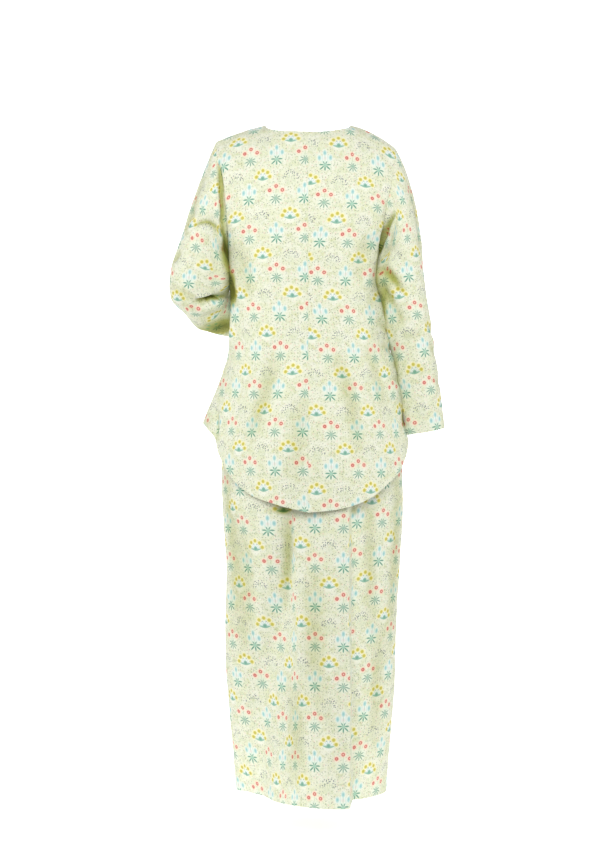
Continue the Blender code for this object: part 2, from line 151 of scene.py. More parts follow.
ARM_LINES = {
    1: {
        "start": (0.2282, 0.005, -0.29),
        "elbow": (0.25, 0.012, -0.363),
        "cuff": (0.088, -0.214, -0.413),
        "bend": 0.07,
    },
    -1: {
        "start": (-0.1955, -0.004, -0.32),
        "elbow": (-0.2175, -0.008, -0.455),
        "cuff": (-0.2488, -0.016, -0.634),
        "bend": 0.4,
    },
}
SLEEVES = {
    1: table(
        "share outward back",
        (0.0, 0.0515, 0.052),
        (0.1, 0.055, 0.05),
        (0.22, 0.058, 0.048),
        (0.38, 0.0505, 0.045),
        (0.6, 0.0455, 0.0445),
        (1.0, 0.039, 0.04),
    ),
    -1: table(
        "share outward back",
        (0.0, 0.0465, 0.056),
        (0.42, 0.045, 0.052),
        (0.72, 0.041, 0.047),
        (1.0, 0.0365, 0.04),
    ),
}
SKIRT_SECTIONS = table(
    "z left right back front",
    (-0.375, 0.118, 0.118, 0.084, -0.086),
    (-0.41, 0.121, 0.122, 0.087, -0.089),
    (-0.5, 0.158, 0.163, 0.098, -0.102),
    (-0.56, 0.172, 0.1816, 0.106, -0.109),
    (-0.62, 0.177, 0.189, 0.111, -0.115),
    (-0.7, 0.179, 0.195, 0.119, -0.121),
    (-0.78, 0.178, 0.197, 0.12, -0.124),
    (-0.91, 0.168, 0.191, 0.119, -0.128),
    (-1.05, 0.171, 0.183, 0.118, -0.136),
    (-1.215, 0.162, 0.175, 0.118, -0.148),
    (-1.383, 0.15, 0.162, 0.119, -0.165),
)
STEP_FOLD = table(
    "z x height reach",
    (-0.56, -0.084, 0.0, 0.08),
    (-0.7, -0.084, 0.01, 0.085),
    (-0.8, -0.084, 0.022, 0.09),
    (-1.0, -0.085, 0.042, 0.105),
    (-1.2, -0.086, 0.064, 0.125),
    (-1.383, -0.086, 0.086, 0.137),
)
SOFT_FOLD = table(
    "z x height reach",
    (-0.56, 0.03, 0.0, 0.03),
    (-0.79, 0.033, -0.01, 0.026),
    (-0.93, 0.045, -0.014, 0.028),
    (-1.02, 0.062, -0.016, 0.03),
    (-1.13, 0.09, -0.022, 0.036),
    (-1.245, 0.107, -0.03, 0.04),
    (-1.383, 0.118, -0.036, 0.044),
)
FRONT_FOLDS = (
    table(
        "z x height reach",
        (-0.6, 0.05, 0.0, 0.03),
        (-0.9, 0.058, 0.01, 0.036),
        (-1.383, 0.07, 0.03, 0.046),
    ),
    table(
        "z x height reach",
        (-0.7, -0.04, 0.0, 0.03),
        (-1.0, -0.052, -0.01, 0.034),
        (-1.383, -0.066, -0.026, 0.044),
    ),
)
# Large folds as straight lines seen from one side: x0 z0 x1 z1 reach height.
LARGE_FOLDS = {
    "back": (
        (0.192, -0.59, 0.194, -0.665, 0.008, -0.006),
        (-0.06, -0.42, -0.12, -0.6, 0.03, -0.004),
        (0.06, -0.48, 0.12, -0.64, 0.03, -0.006),
        (0.178, -0.352, 0.226, -0.372, 0.008, -0.01),
        (0.184, -0.368, 0.245, -0.388, 0.01, 0.004),
        (0.182, -0.205, 0.236, -0.186, 0.011, -0.006),
        (-0.18, -0.175, -0.165, -0.235, 0.012, -0.008),
        (-0.17, -0.265, -0.205, -0.3, 0.014, -0.006),
    ),
    "front": (
        (0.06, -0.3, 0.105, -0.6, 0.026, -0.008),
        (-0.06, -0.34, -0.095, -0.64, 0.028, -0.008),
        (0.0, -0.42, 0.01, -0.7, 0.026, 0.006),
    ),
}

# What the solids leave out: creases, hems, seams, stitches.

# Creases as bent lines through three points, seen from the named side: from the back and
# the front a is x, and from the left and the right a is y. A trough has a negative height.
# Each row is a0 z0 a1 z1 a2 z2 reach height.
CREASES = {
    "back": (
        # left sleeve: along the armhole, the arc over the upper arm, round the elbow
        (0.186, -0.08, 0.177, -0.15, 0.17, -0.25, 0.0055, -0.009),
        (0.237, -0.213, 0.207, -0.206, 0.172, -0.23, 0.005, -0.0075),
        (0.24, -0.234, 0.208, -0.226, 0.182, -0.248, 0.011, 0.003),
        (0.262, -0.262, 0.272, -0.276, 0.284, -0.286, 0.006, -0.004),
        (0.232, -0.37, 0.2055, -0.363, 0.168, -0.354, 0.0045, -0.012),
        (0.234, -0.382, 0.205, -0.38, 0.172, -0.371, 0.007, 0.0045),
        (0.268, -0.33, 0.246, -0.352, 0.226, -0.362, 0.008, -0.0025),
        (0.262, -0.372, 0.24, -0.38, 0.222, -0.38, 0.006, -0.0025),
        # right sleeve: under the arm, and the soft ones beside it
        (-0.176, -0.186, -0.156, -0.226, -0.146, -0.29, 0.0042, -0.01),
        (-0.15, -0.292, -0.172, -0.318, -0.196, -0.352, 0.01, -0.006),
        (-0.158, -0.326, -0.176, -0.352, -0.19, -0.392, 0.008, 0.003),
        (-0.168, -0.35, -0.184, -0.382, -0.192, -0.42, 0.01, -0.0035),
        (-0.238, -0.42, -0.216, -0.438, -0.19, -0.436, 0.01, -0.002),
        (-0.246, -0.5, -0.226, -0.512, -0.204, -0.506, 0.012, -0.0016),
        # the back of the top
        (-0.132, -0.236, -0.112, -0.268, -0.098, -0.33, 0.014, -0.0022),
        (0.15, -0.25, 0.128, -0.3, 0.12, -0.372, 0.016, -0.0022),
        (0.07, -0.47, 0.092, -0.56, 0.128, -0.66, 0.016, -0.003),
        (0.128, -0.47, 0.152, -0.54, 0.17, -0.61, 0.012, 0.0024),
        (-0.05, -0.47, -0.084, -0.56, -0.104, -0.69, 0.017, -0.0028),
        (-0.118, -0.45, -0.14, -0.52, -0.16, -0.6, 0.013, -0.0022),
        (0.012, -0.56, 0.02, -0.64, 0.03, -0.74, 0.02, -0.002),
        (0.188, -0.596, 0.187, -0.622, 0.19, -0.652, 0.005, -0.004),
        # the back of the skirt: first the pinch under the top's hem
        (0.04, -0.802, 0.041, -0.88, 0.048, -1.0, 0.012, -0.004),
        (0.018, -0.802, 0.02, -0.88, 0.028, -1.0, 0.012, 0.003),
        (0.14, -0.8, 0.128, -0.93, 0.132, -1.1, 0.02, -0.003),
        (-0.02, -0.9, -0.012, -1.04, -0.026, -1.22, 0.024, -0.0026),
        (0.03, -1.12, 0.024, -1.23, 0.03, -1.35, 0.018, -0.0024),
        (-0.124, -0.76, -0.128, -0.9, -0.126, -1.06, 0.015, -0.0026),
        (-0.146, -1.0, -0.14, -1.14, -0.136, -1.29, 0.014, -0.0024),
    ),
    "front": (
        (0.15, -0.13, 0.138, -0.19, 0.12, -0.262, 0.012, -0.004),
        (-0.146, -0.13, -0.132, -0.196, -0.112, -0.27, 0.012, -0.004),
        (0.186, -0.1, 0.176, -0.17, 0.168, -0.246, 0.006, -0.006),
        (-0.176, -0.11, -0.162, -0.18, -0.152, -0.256, 0.006, -0.006),
        (0.13, -0.33, 0.11, -0.42, 0.118, -0.54, 0.015, -0.003),
        (-0.118, -0.3, -0.104, -0.4, -0.122, -0.52, 0.016, -0.003),
        (0.034, -0.42, 0.04, -0.52, 0.03, -0.64, 0.017, -0.0026),
        (-0.03, -0.38, -0.044, -0.5, -0.036, -0.62, 0.015, -0.0024),
        (0.15, -0.48, 0.164, -0.56, 0.18, -0.64, 0.012, -0.003),
        (-0.138, -0.48, -0.156, -0.56, -0.168, -0.63, 0.013, -0.003),
        (-0.196, -0.33, -0.182, -0.366, -0.18, -0.41, 0.01, -0.004),
        (0.128, -0.76, 0.118, -0.93, 0.124, -1.15, 0.02, -0.0036),
        (0.01, -0.78, 0.004, -0.96, 0.01, -1.24, 0.024, -0.004),
        (-0.118, -0.8, -0.124, -1.0, -0.12, -1.26, 0.02, -0.0036),
        (0.106, -1.06, 0.11, -1.18, 0.116, -1.33, 0.015, -0.0026),
    ),
    "left": (
        (0.03, -0.11, 0.02, -0.17, 0.03, -0.236, 0.012, -0.003),
        (-0.03, -0.12, -0.024, -0.186, -0.036, -0.25, 0.011, -0.003),
        (-0.01, -0.34, -0.034, -0.352, -0.056, -0.35, 0.007, -0.004),
        (-0.06, -0.392, -0.09, -0.398, -0.12, -0.392, 0.008, -0.0024),
        (-0.1, -0.42, -0.13, -0.424, -0.16, -0.416, 0.009, -0.002),
        (0.02, -0.33, 0.034, -0.35, 0.03, -0.376, 0.008, -0.0026),
        (0.05, -0.7, 0.046, -0.86, 0.052, -1.06, 0.018, -0.003),
        (-0.05, -0.76, -0.046, -0.94, -0.056, -1.15, 0.018, -0.003),
    ),
    "right": (
        (0.026, -0.12, 0.016, -0.19, 0.022, -0.27, 0.012, -0.003),
        (-0.03, -0.13, -0.022, -0.21, -0.03, -0.29, 0.011, -0.003),
        (0.036, -0.4, 0.0, -0.428, -0.034, -0.42, 0.01, -0.003),
        (0.03, -0.452, 0.004, -0.47, -0.03, -0.466, 0.01, -0.0026),
        (0.028, -0.52, 0.0, -0.532, -0.036, -0.524, 0.011, -0.002),
        (0.046, -0.7, 0.042, -0.88, 0.05, -1.1, 0.018, -0.003),
        (-0.05, -0.72, -0.05, -0.9, -0.058, -1.16, 0.018, -0.003),
    ),
}

# Where cloth stands out from the solids' form or, with a negative height, is drawn in from
# it, so that the sleeves lie against the body and the top's hem near the skirt. Each row is
# x y z wide deep tall height.
BULGES = {
    "body": (
        (-0.15, 0.0, -0.385, 0.05, 0.055, 0.085, 0.012),
        (-0.172, 0.0, -0.5, 0.05, 0.055, 0.12, 0.0085),
        (-0.188, 0.0, -0.575, 0.05, 0.055, 0.06, 0.004),
        (0.156, 0.004, -0.42, 0.05, 0.055, 0.075, 0.01),
        (0.156, 0.004, -0.335, 0.05, 0.05, 0.07, 0.0065),
        (0.03, 0.167, -0.8, 0.2, 0.09, 0.13, -0.012),
        (0.13, 0.12, -0.745, 0.09, 0.09, 0.085, -0.012),
    ),
    "skirt": (
        (0.085, 0.115, -0.8, 0.105, 0.09, 0.15, 0.013),
        (0.135, 0.09, -0.74, 0.075, 0.08, 0.12, 0.009),
    ),
    "sleeve": (
        (-0.15, -0.006, -0.308, 0.034, 0.045, 0.07, 0.015),
        (-0.162, -0.012, -0.405, 0.034, 0.045, 0.09, 0.008),
        (-0.186, -0.012, -0.53, 0.034, 0.045, 0.09, 0.003),
        (-0.208, -0.01, -0.63, 0.04, 0.05, 0.09, 0.011),
        (0.177, 0.0, -0.31, 0.036, 0.05, 0.066, 0.0215),
        (0.262, -0.02, -0.398, 0.056, 0.08, 0.046, -0.013),
    ),
}

# The line along which the right sleeve lies against the body, as x and z.
RIGHT_SIDE_LINE = (
    (-0.152, -0.36),
    (-0.162, -0.4),
    (-0.168, -0.44),
    (-0.176, -0.48),
    (-0.185, -0.52),
    (-0.194, -0.56),
    (-0.198, -0.6),
)

# Where cloth lies deep in the shade of other cloth and looks greener: x y z wide deep tall
# and the shade's strength.
SHADES = {
    "body": (
        (0.16, 0.03, -0.342, 0.017, 0.06, 0.052, 4.0),
        (0.166, 0.0, -0.318, 0.014, 0.05, 0.08, 1.8),
        (-0.142, 0.0, -0.3, 0.006, 0.05, 0.07, 1.2),
        *((x, 0.0, z, 0.007, 0.05, 0.034, 3.2) for x, z in RIGHT_SIDE_LINE),
        (0.207, 0.0, -0.622, 0.014, 0.06, 0.03, 0.7),
    ),
    "skirt": (
        (0.05, 0.13, -0.793, 0.026, 0.06, 0.012, 1.8),
        (-0.094, 0.14, -0.796, 0.014, 0.06, 0.014, 1.2),
    ),
    "sleeve": (
        (0.171, 0.0, -0.29, 0.018, 0.06, 0.08, 2.6),
        (0.174, 0.0, -0.225, 0.01, 0.05, 0.06, 2.4),
        (-0.16, 0.018, -0.336, 0.034, 0.06, 0.048, 0.7),
        (-0.145, 0.0, -0.3, 0.01, 0.06, 0.08, 1.4),
        (-0.159, 0.0, -0.42, 0.01, 0.06, 0.11, 1.5),
        (-0.183, 0.0, -0.56, 0.01, 0.06, 0.13, 1.4),
        (0.192, -0.06, -0.411, 0.064, 0.07, 0.028, 2.2),
        (0.192, 0.03, -0.36, 0.014, 0.05, 0.005, 3.2),
        (0.206, 0.03, -0.364, 0.014, 0.05, 0.0045, 1.8),
    ),
}
# Painted shade: how deep a trough is where its shade is full, the share of shade a trough paints,
# and the most shade painted.
FOLD_SHADE_DEPTH = 0.006
FOLD_SHADE_SHARE = 0.9
DARKEST_PAINTED_SHADE = 2.0

CREASE_STEPS = 10
CREASE_TAPER = 0.6
SHOULDER_OUT = 1.7
SHOULDER_WIDTH = 0.75
SHOULDER_HEIGHT = 0.3
VIEWS = {
    "back": ((0, 1, 0), 0),
    "front": ((0, -1, 0), 0),
    "left": ((1, 0, 0), 1),
    "right": ((-1, 0, 0), 1),
}

# Long soft waves all over the cloth, and short shallow ones.
WAVES = (
    {"seed": 3, "count": 14, "height": 0.0011, "lengths": (0.07, 0.17), "upright": 0.35},
    {"seed": 8, "count": 26, "height": 0.0003, "lengths": (0.02, 0.05), "upright": 0.8},
)

CLOTH_HALF = 0.0004
HEM_TURN = 0.016
NECK_TURN = 0.007
HEM_PLY = 0.0007
STITCH_DIP = 0.00035
STITCH_DIP_WIDTH = 0.0012
SEAM_DIP = 0.0013
SEAM_DIP_WIDTH = 0.0022
SHARP_ANGLE = 1.0

# Rows and columns of the panels' grids, with more of them close to seams and hems, given
# by their distance from the edge.
BY_SEAM = (0.0009, 0.002, 0.0036, 0.0062)
BY_HEM = (0.0012, 0.005, 0.01, 0.0138, 0.015, 0.016, 0.017, 0.0185, 0.02, 0.0218)
ARMHOLE_ROWS, ARMHOLE_LENGTH = 46, 0.235
SIDE_ROWS, SIDE_LENGTH = 90, 0.5
NECK_COLUMNS = 22
SHOULDER_COLUMNS, SHOULDER_LENGTH = 28, 0.14
CAP_ROWS, CAP_LENGTH = 36, 0.15
CUFF_ROWS, CUFF_LENGTH = 70, 0.29
SKIRT_ROWS, SKIRT_LENGTH = 180, 0.973
SKIRT_ACROSS, SKIRT_WIDTH = 100, 0.48
STEP_SPAN, STEP_COLUMNS = (0.6, 0.82), 61
BAND_ROWS = 8
PLACES_APART = 0.0013
SPOTS_PER_METRE = 1e5
NO_LENGTH = 1e-12
NECK_MARGIN = 0.0005
NECK_LINE_STEPS = 8

# The edges of each panel that are sewn to others, and those that are turned under.
TOP_PANEL = ("first", "last", "shoulder"), (("bottom", HEM_TURN), ("neck", NECK_TURN))
SLEEVE_PANEL = ("first", "last", "top"), (("bottom", HEM_TURN),)
PANEL_EDGES = {
    "back_left": TOP_PANEL,
    "back_right": TOP_PANEL,
    "front": TOP_PANEL,
    "sleeve_left": SLEEVE_PANEL,
    "sleeve_right": SLEEVE_PANEL,
    "skirt_back": SLEEVE_PANEL,
    "skirt_front": SLEEVE_PANEL,
    "waistband": (("bottom",), ()),
}
TUBES = ("sleeve_left", "sleeve_right", "waistband")
BACK_HALVES = {"back_left": 1, "back_right": -1}
GATHERED = ("skirt_back", "skirt_front", "waistband")
SOLIDS = {"sleeve_left": ("sleeve_left_upper", "sleeve_left_lower")}

# Parts of the sheet that a panel's colours are baked to: left, low, width and height.
OUTER_SHEET = 0.005, 0.005, 0.68, 0.99
INNER_SHEET = 0.695, 0.005, 0.235, 0.99
RIM_SHEET = 0.94, 0.005, 0.055, 0.99
RIM_SHARE = 0.8
CLOTH_MAP = "cloth"
BAKE_MAP = "OFBake"
WRONG_SIDE = "wrong_side"
# The name of the attribute that holds the shade painted into the cloth's colour.
PAINTED_SHADE_ATTRIBUTE = "in_fold"

# The print: its lattice, in millimetres, and the share of a cell that lies below the foot
# of its motif.
PRINT_COLUMN = 58.0
PRINT_ROW = 79.0
FAN_BELOW = 0.35
STALK_BELOW = 0.35
THREAD_PITCH = 0.45

# Where the print's lattice falls on each panel, in metres: how far it is moved across and
# up, and how far it leans for each metre up.
PRINT_PLACES = {
    "back_left": (0.0, 0.02, 0.0),
    "back_right": (0.0, 0.026, 0.0),
    "front": (0.029, 0.02, 0.0),
    "sleeve_left": (0.0732, 0.0125, 0.0),
    "sleeve_right": (0.0397, 0.0366, 0.09),
    "skirt_back": (0.073, -0.004, 0.0),
    "skirt_front": (0.029, -0.004, 0.0),
    "waistband": (0.0, 0.0, 0.0),
}
PRINT_RISE = 0.93
PRINT_EASE = 0.6, 0.3
EASE_LEVELS = -0.3, -0.46

# The distance from the centre back seam to the first column of fans on each side of it,
# and how much lower the print lies there.
BACK_COLUMNS = table(
    "z left right left_low right_low",
    (0.01, 0.035, 0.062, 0.003, 0.008),
    (-0.03, 0.035, 0.062, 0.0035, 0.0087),
    (-0.1, 0.035, 0.063, 0.0067, 0.014),
    (-0.18, 0.037, 0.06, 0.0055, 0.0087),
    (-0.26, 0.035, 0.051, 0.0, 0.0034),
    (-0.33, 0.035, 0.048, 0.0, 0.001),
    (-0.38, 0.03, 0.052, 0.0, 0.0),
    (-0.46, 0.029, 0.067, 0.0, 0.0),
    (-0.54, 0.034, 0.072, 0.0, 0.0),
    (-0.62, 0.04, 0.075, 0.0, 0.0),
    (-0.8, 0.037, 0.075, 0.0, 0.0),
)

# Cloth of the skirt's back that is hidden in folds: by how much the print is moved across
# and up on the left of its soft fold and on the right of its stepped one.
SKIRT_HIDDEN = table(
    "z x width left_across left_up right_across right_up",
    (-0.56, 0.029, 0.01, -0.0226, 0.006, 0.0097, -0.008),
    (-0.95, 0.029, 0.01, -0.0226, 0.006, 0.0097, -0.008),
    (-1.1, 0.029, 0.03, -0.036, 0.006, 0.0097, -0.008),
    (-1.383, 0.04, 0.06, -0.05, 0.006, 0.0097, -0.008),
)

# Colours, by their screen values.
THREAD_LIGHT = 236, 238, 216
THREAD_DARK = 214, 220, 186
GROUND_CREAM = 233, 234, 213
GROUND_LIME = 223, 227, 191
GROUND_DEEP = 206, 210, 163
GROUND_PALE = 241, 242, 228
# Painted shade: colours that the cloth's colour is multiplied by in creases and, twice over,
# where it lies deepest in shade.
PAINTED_FOLD_SHADE = 194, 196, 126
PAINTED_DEEP_SHADE = 150, 152, 88
SCROLL_GREEN = 196, 208, 174
SPECK_DARK = 104, 110, 94
SPECK_GREEN = 158, 186, 144
SPECK_PINK = 238, 204, 190
PETAL_WHITE = 238, 244, 238
PETAL_BLUE = 158, 198, 202
DOT_GREY = 112, 118, 126
HEAD_GLOW = 248, 240, 184
HEAD_YELLOW = 206, 196, 96
HEAD_OLIVE = 190, 184, 80
LEAF_TEAL = 142, 188, 166
LEAF_DARK = 104, 156, 142
LEAF_GREY = 128, 162, 142
LEAF_GREEN = 104, 156, 134
LEAF_LIGHT = 178, 216, 192
LEAF_MIST = 226, 240, 220
CORAL = 203, 90, 88
CORAL_GLOW = 250, 224, 200
DROP_BLUE = 174, 214, 206
DROP_DEEP = 130, 190, 198
HAZE_PINK = 236, 222, 214

# The ground's soft patches: size, detail, turn, where they begin, gain and colour.
GROUND_PATCHES = (
    (24.0, 3.0, 0.0, 0.4, 4.0, GROUND_LIME),
    (10.0, 4.0, 40.0, 0.5, 4.5, GROUND_DEEP),
    (3.4, 2.0, 60.0, 0.56, 4.0, GROUND_PALE),
)
# Its specks: how far apart, radius, share of places filled, turn, strength and colour.
SPECKS = (
    (9.5, 1.6, 0.4, 57.0, 0.45, SPECK_PINK),
    (6.4, 1.35, 0.55, 31.0, 0.34, SPECK_GREEN),
    (3.7, 0.6, 0.55, 17.0, 0.22, SPECK_DARK),
    (6.0, 0.95, 0.62, 0.0, 0.65, SPECK_DARK),
)
# Spots of the motifs about their middle, each standing for one on both sides.
FAN_HEADS = (15.2, 5.0), (10.3, 13.7), (0.0, 18.0)
FAN_DOTS = (10.6, 5.6), (4.6, 11.0)
CORAL_RINGS = (13.0, 16.4), (0.0, 24.6)
DROPS = (12.6, 0.0), (0.0, 7.4)
DOT_SCATTER, DOT_SOFT, CHOICE_SOFT = 0.85, 0.35, 0.02
CREPE_STRENGTH, CREPE_HEIGHT = 0.35, 0.00012
THREAD_MOTTLE = 0.0008

GATHERS = 40
GATHER_DRIFT = 0.03
GATHER_HEIGHT = 0.0016
GATHER_FADE = 0.075
CASING_ROWS = (0.008, 0.0175, 0.027)

STITCH_PITCH = 0.0032
STITCH_LENGTH = 0.0023
THREAD_WIDTH = 0.00042
STITCH_LIFT = 0.00005

# The view, the floor and the light.
LENS, SENSOR = 79.94, 36.0
CAMERA_PLACE = 0.0166, 4.0, -0.57
CAMERA_DIP = math.radians(0.983)
STAGE_SIZE = 8.0
FLOOR_PLACE = 0.0, -3.64, -1.46
BACKDROP_PLACE = 0.0, -6.0, -1.46
STAGE_PALE = 248, 248, 248
STAGE_WHITE = 253, 253, 253
FLOOR_GLOW = 0.58
BACKDROP_GLOW = 1.0
WORLD_COLOUR = 1.0, 1.0, 1.0, 1.0
WORLD_STRENGTH = 0.46
LIGHTS = (
    ("key", 1.6, 59.5, (0.1, 2.8, 0.5), (0.0, 0.0, 0.6)),
    ("left side", 1.2, 14.0, (2.4, 0.2, -0.3), (0.0, 0.0, -0.5)),
    ("right side", 1.2, 12.0, (-2.4, 0.2, -0.3), (0.0, 0.0, -0.5)),
)

# Forms


def follow(rows, column, at):
    """A column's value at each place along the table's first column, as a smooth curve."""
    keys, values = next(iter(rows.values())), rows[column]
    if keys[0] > keys[-1]:
        keys, values = keys[::-1], values[::-1]
    steps = np.diff(keys)
    rises = np.diff(values) / steps
    slopes = np.empty_like(values)
    slopes[1:-1] = (rises[:-1] * steps[1:] + rises[1:] * steps[:-1]) / (steps[1:] + steps[:-1])
    slopes[0], slopes[-1] = rises[0], rises[-1]
    at = np.clip(at, keys[0], keys[-1])
    part = np.clip(np.searchsorted(keys, at) - 1, 0, len(steps) - 1)
    step = steps[part]
    t = (at - keys[part]) / step
    return curve(t, values[part], step * slopes[part], values[part + 1], step * slopes[part + 1])


def curve(t, start, leave, end, arrive):
    """A cubic from start to end, with the rates at which it leaves and arrives."""
    return (
        (2 * t**3 - 3 * t**2 + 1) * start
        + (t**3 - 2 * t**2 + t) * leave
        + (3 * t**2 - 2 * t**3) * end
        + (t**3 - t**2) * arrive
    )


def ease(t):
    """0 to 1 with level ends."""
    t = np.clip(t, 0.0, 1.0)
    return t * t * (3 - 2 * t)


def step_up(past, width):
    """0 to 1 over a width about the place where past is 0."""
    return ease(past / width + 0.5)


def hump(off, reach):
    """1 in the middle, falling away smoothly on both sides."""
    return np.exp(-((off / reach) ** 2))


def along(at, run, line):
    """Points at given places along a line, where run is the place of each of its own."""
    return np.stack([np.interp(at, run, line[:, axis]) for axis in range(3)], -1)


def points(x, y, z):
    """Three coordinates, each a number or an array, as one array of points."""
    return np.stack(np.broadcast_arrays(x, y, z), -1).astype(float)


def quarter(centre, side, across):
    """A smooth quarter of a section, level at the centre line and square at the side."""
    across = np.asarray(across, float)[..., None]
    reach = (side - centre) * (CENTRE_HANDLE, 0, 0)
    turn = (centre - side) * (0, SIDE_HANDLE, 0)
    lift = (side - centre) * (0, 0, 1 / 3)
    first, second = centre + reach + lift, side + turn - lift
    rest = 1 - across
    return (
        rest**3 * centre
        + 3 * rest**2 * across * first
        + 3 * rest * across**2 * second
        + across**3 * side
    )


def armhole(side, face, share):
    """The armhole's edge, from the shoulder tip at 0 to the underarm at 1."""
    tip_x, tip_z = SHOULDER_TIP[side]
    z = tip_z + (UNDERARM - tip_z) * share
    x = side * follow(TOP_SIDES, SIDE_NAMES[side], z)
    x = x + (side * tip_x - x) * (1 - ease(share / TIP_BLEND))
    swing = np.sin(np.pi * np.clip(share, 0, 1) ** ARMHOLE_TURN).clip(0) ** ARMHOLE_ROUND
    return points(x, ARMHOLE_SWING[face] * swing, z)


def side_seam(side, share):
    """The side seam, from the underarm at 0 to the hem's corner at 1."""
    z = UNDERARM + (HEM_CORNER[side] - UNDERARM) * share
    x = side * follow(TOP_SIDES, SIDE_NAMES[side], z)
    return points(x, 0, z)


def shoulder_line(side, across):
    """The line of the shoulder seam, running on over the neck to the centre."""
    tip_x, tip_z = SHOULDER_TIP[side]
    power = np.log(1 - tip_z / SHOULDER_CROWN) / np.log(tip_x / NECK_HALF)
    x = tip_x * across
    return points(side * x, 0, SHOULDER_CROWN * (1 - (x / NECK_HALF) ** power))


def top_base(side, face, across, down):
    """A quarter of the top before its upper edge is fitted to the shoulder line."""
    in_armhole = (down <= ARMHOLE_SHARE)[..., None]
    upper = np.clip(down / ARMHOLE_SHARE, 0, 1)
    lower = np.clip((down - ARMHOLE_SHARE) / (1 - ARMHOLE_SHARE), 0, 1)
    edge = np.where(in_armhole, armhole(side, face, upper), side_seam(side, lower))
    rise = follow(HEM_RISE, SIDE_NAMES[side], across)
    hem = HEM_LOWEST[face] + (HEM_CORNER[side] - HEM_LOWEST[face]) * rise
    below = UNDERARM + (hem - UNDERARM) * lower
    centre_z = SHOULDER_CROWN + (UNDERARM - SHOULDER_CROWN) * upper**SHOULDER_DROP
    centre_z = np.where(down <= ARMHOLE_SHARE, centre_z, below)
    centre = points(0, follow(TOP_BACK if face > 0 else TOP_FRONT, "y", centre_z), centre_z)
    place = quarter(centre, edge, across)
    place[..., 2] = np.where(down <= ARMHOLE_SHARE, place[..., 2], below)
    return place


def top_quarter(side, face, across, down):
    """A quarter of the top: one side, and its back where face is 1 or its front at -1."""
    across, down = np.broadcast_arrays(np.asarray(across, float), np.asarray(down, float))
    neck = np.clip(across * SHOULDER_TIP[side][0] / NECK_HALF, 0, 1)
    down = down + NECK_DEPTH[face] * np.sqrt(1 - neck**2) * (1 - down) ** 2
    place = top_base(side, face, across, down)
    fit = shoulder_line(side, across) - top_base(side, face, across, np.zeros_like(across))
    return place + fit * (1 - ease(down / TOP_EDGE_REACH))[..., None]


def arm_line(side):
    """Evenly spaced points along the middle of a sleeve, with its elbow rounded."""
    start, elbow, cuff = (np.array(ARM_LINES[side][name]) for name in ("start", "elbow", "cuff"))
    radius = ARM_LINES[side]["bend"]
    upper = (elbow - start) / np.linalg.norm(elbow - start)
    fore = (cuff - elbow) / np.linalg.norm(cuff - elbow)
    bend = np.arccos(upper @ fore)
    inward = fore - upper * (fore @ upper)
    inward /= np.linalg.norm(inward)
    middle = elbow - upper * radius * np.tan(bend / 2) + inward * radius
    turn = np.linspace(0, bend, BEND_STEPS)[:, None]
    arc = middle + radius * (np.sin(turn) * upper - np.cos(turn) * inward)
    line = np.concatenate([[start], arc, [cuff]])
    run = lengths(line, 0)
    return along(np.linspace(0, run[-1], ARM_STEPS), run, line)


def tube_frame(side, share):
    """The middle of a sleeve, with its +X and backward directions carried along it."""
    path = arm_line(side)
    ways = np.gradient(path, axis=0)
    ways /= np.linalg.norm(ways, axis=1)[:, None]
    back = np.empty_like(path)
    carried = np.array((0.0, 1.0, 0.0))
    for i, way in enumerate(ways):
        carried = carried - way * (carried @ way)
        carried /= np.linalg.norm(carried)
        back[i] = carried
    fine = np.linspace(0, 1, len(path))
    return [along(share, fine, part) for part in (path, np.cross(ways, back), back)]


def sleeve_tube(side, round_it, share):
    """The sleeve below its cap. round_it runs from the outer side by the back to the inner."""
    rows = SLEEVES[side]
    middle, across, back = tube_frame(side, share)
    turn = 2 * np.pi * round_it
    outward = side * np.cos(turn) * follow(rows, "outward", share)
    backward = np.sin(turn) * follow(rows, "back", share)
    return middle + outward[..., None] * across + backward[..., None] * back


def sleeve(side, round_it, down):
    """A sleeve, from its armhole at down 0 to its cuff at 1."""
    round_it, down = np.broadcast_arrays(np.asarray(round_it, float), np.asarray(down, float))
    on_back = round_it <= 0.5
    share = np.where(on_back, 2 * round_it, 2 * (1 - round_it))
    start = np.where(on_back[..., None], armhole(side, 1, share), armhole(side, -1, share))
    end = sleeve_tube(side, round_it, np.zeros_like(down))
    leave = sleeve_tube(side, round_it, np.full_like(down, CAP_PROBE)) - end
    span = np.linalg.norm(end - start, axis=-1)[..., None]
    leave = leave * CAP_PULL * span / np.linalg.norm(leave, axis=-1)[..., None]
    turn = 2 * np.pi * round_it
    out = CAP_OUT[side] + (CAP_OUT_UNDER - CAP_OUT[side]) * (1 - np.cos(turn)) / 2
    way = points(side * out, CAP_SPREAD * np.sin(turn), -CAP_DOWN)
    way = way * CAP_PULL * span
    t = np.clip(down / CAP_SHARE, 0, 1)[..., None]
    cap = curve(t, start, way, end, leave)
    below = np.clip((down - CAP_SHARE) / (1 - CAP_SHARE), 0, 1)
    tube = sleeve_tube(side, round_it, below)
    return np.where((down <= CAP_SHARE)[..., None], cap, tube)


def skirt_plan(face, z, fold_tables):
    """One level of the skirt's back or front, from the left seam to the right."""
    across = np.linspace(1, 0, PLAN_STEPS)
    depth = follow(SKIRT_SECTIONS, "back" if face > 0 else "front", z)
    halves = []
    for side, name in SIDE_NAMES.items():
        edge = points(side * follow(SKIRT_SECTIONS, name, z), 0, z)
        halves.append(quarter(points(0, depth, z), edge, across))
    line = np.concatenate([halves[0], halves[1][::-1][1:]])
    out = np.gradient(line[:, :2], axis=0)[:, ::-1] * (face, -face)
    out /= np.linalg.norm(out, axis=1)[:, None]
    for fold, stepped in fold_tables:
        past = line[:, 0] - follow(fold, "x", z)
        lift = follow(fold, "height", z) * hump(past, follow(fold, "reach", z))
        lift = lift * ease(np.abs(line[:, 1]) / SEAM_CALM)
        if stepped:
            line[:, 1] += face * lift * step_up(past, 2 * FOLD_EDGE)
        else:
            line[:, :2] += out * lift[:, None]
    return line


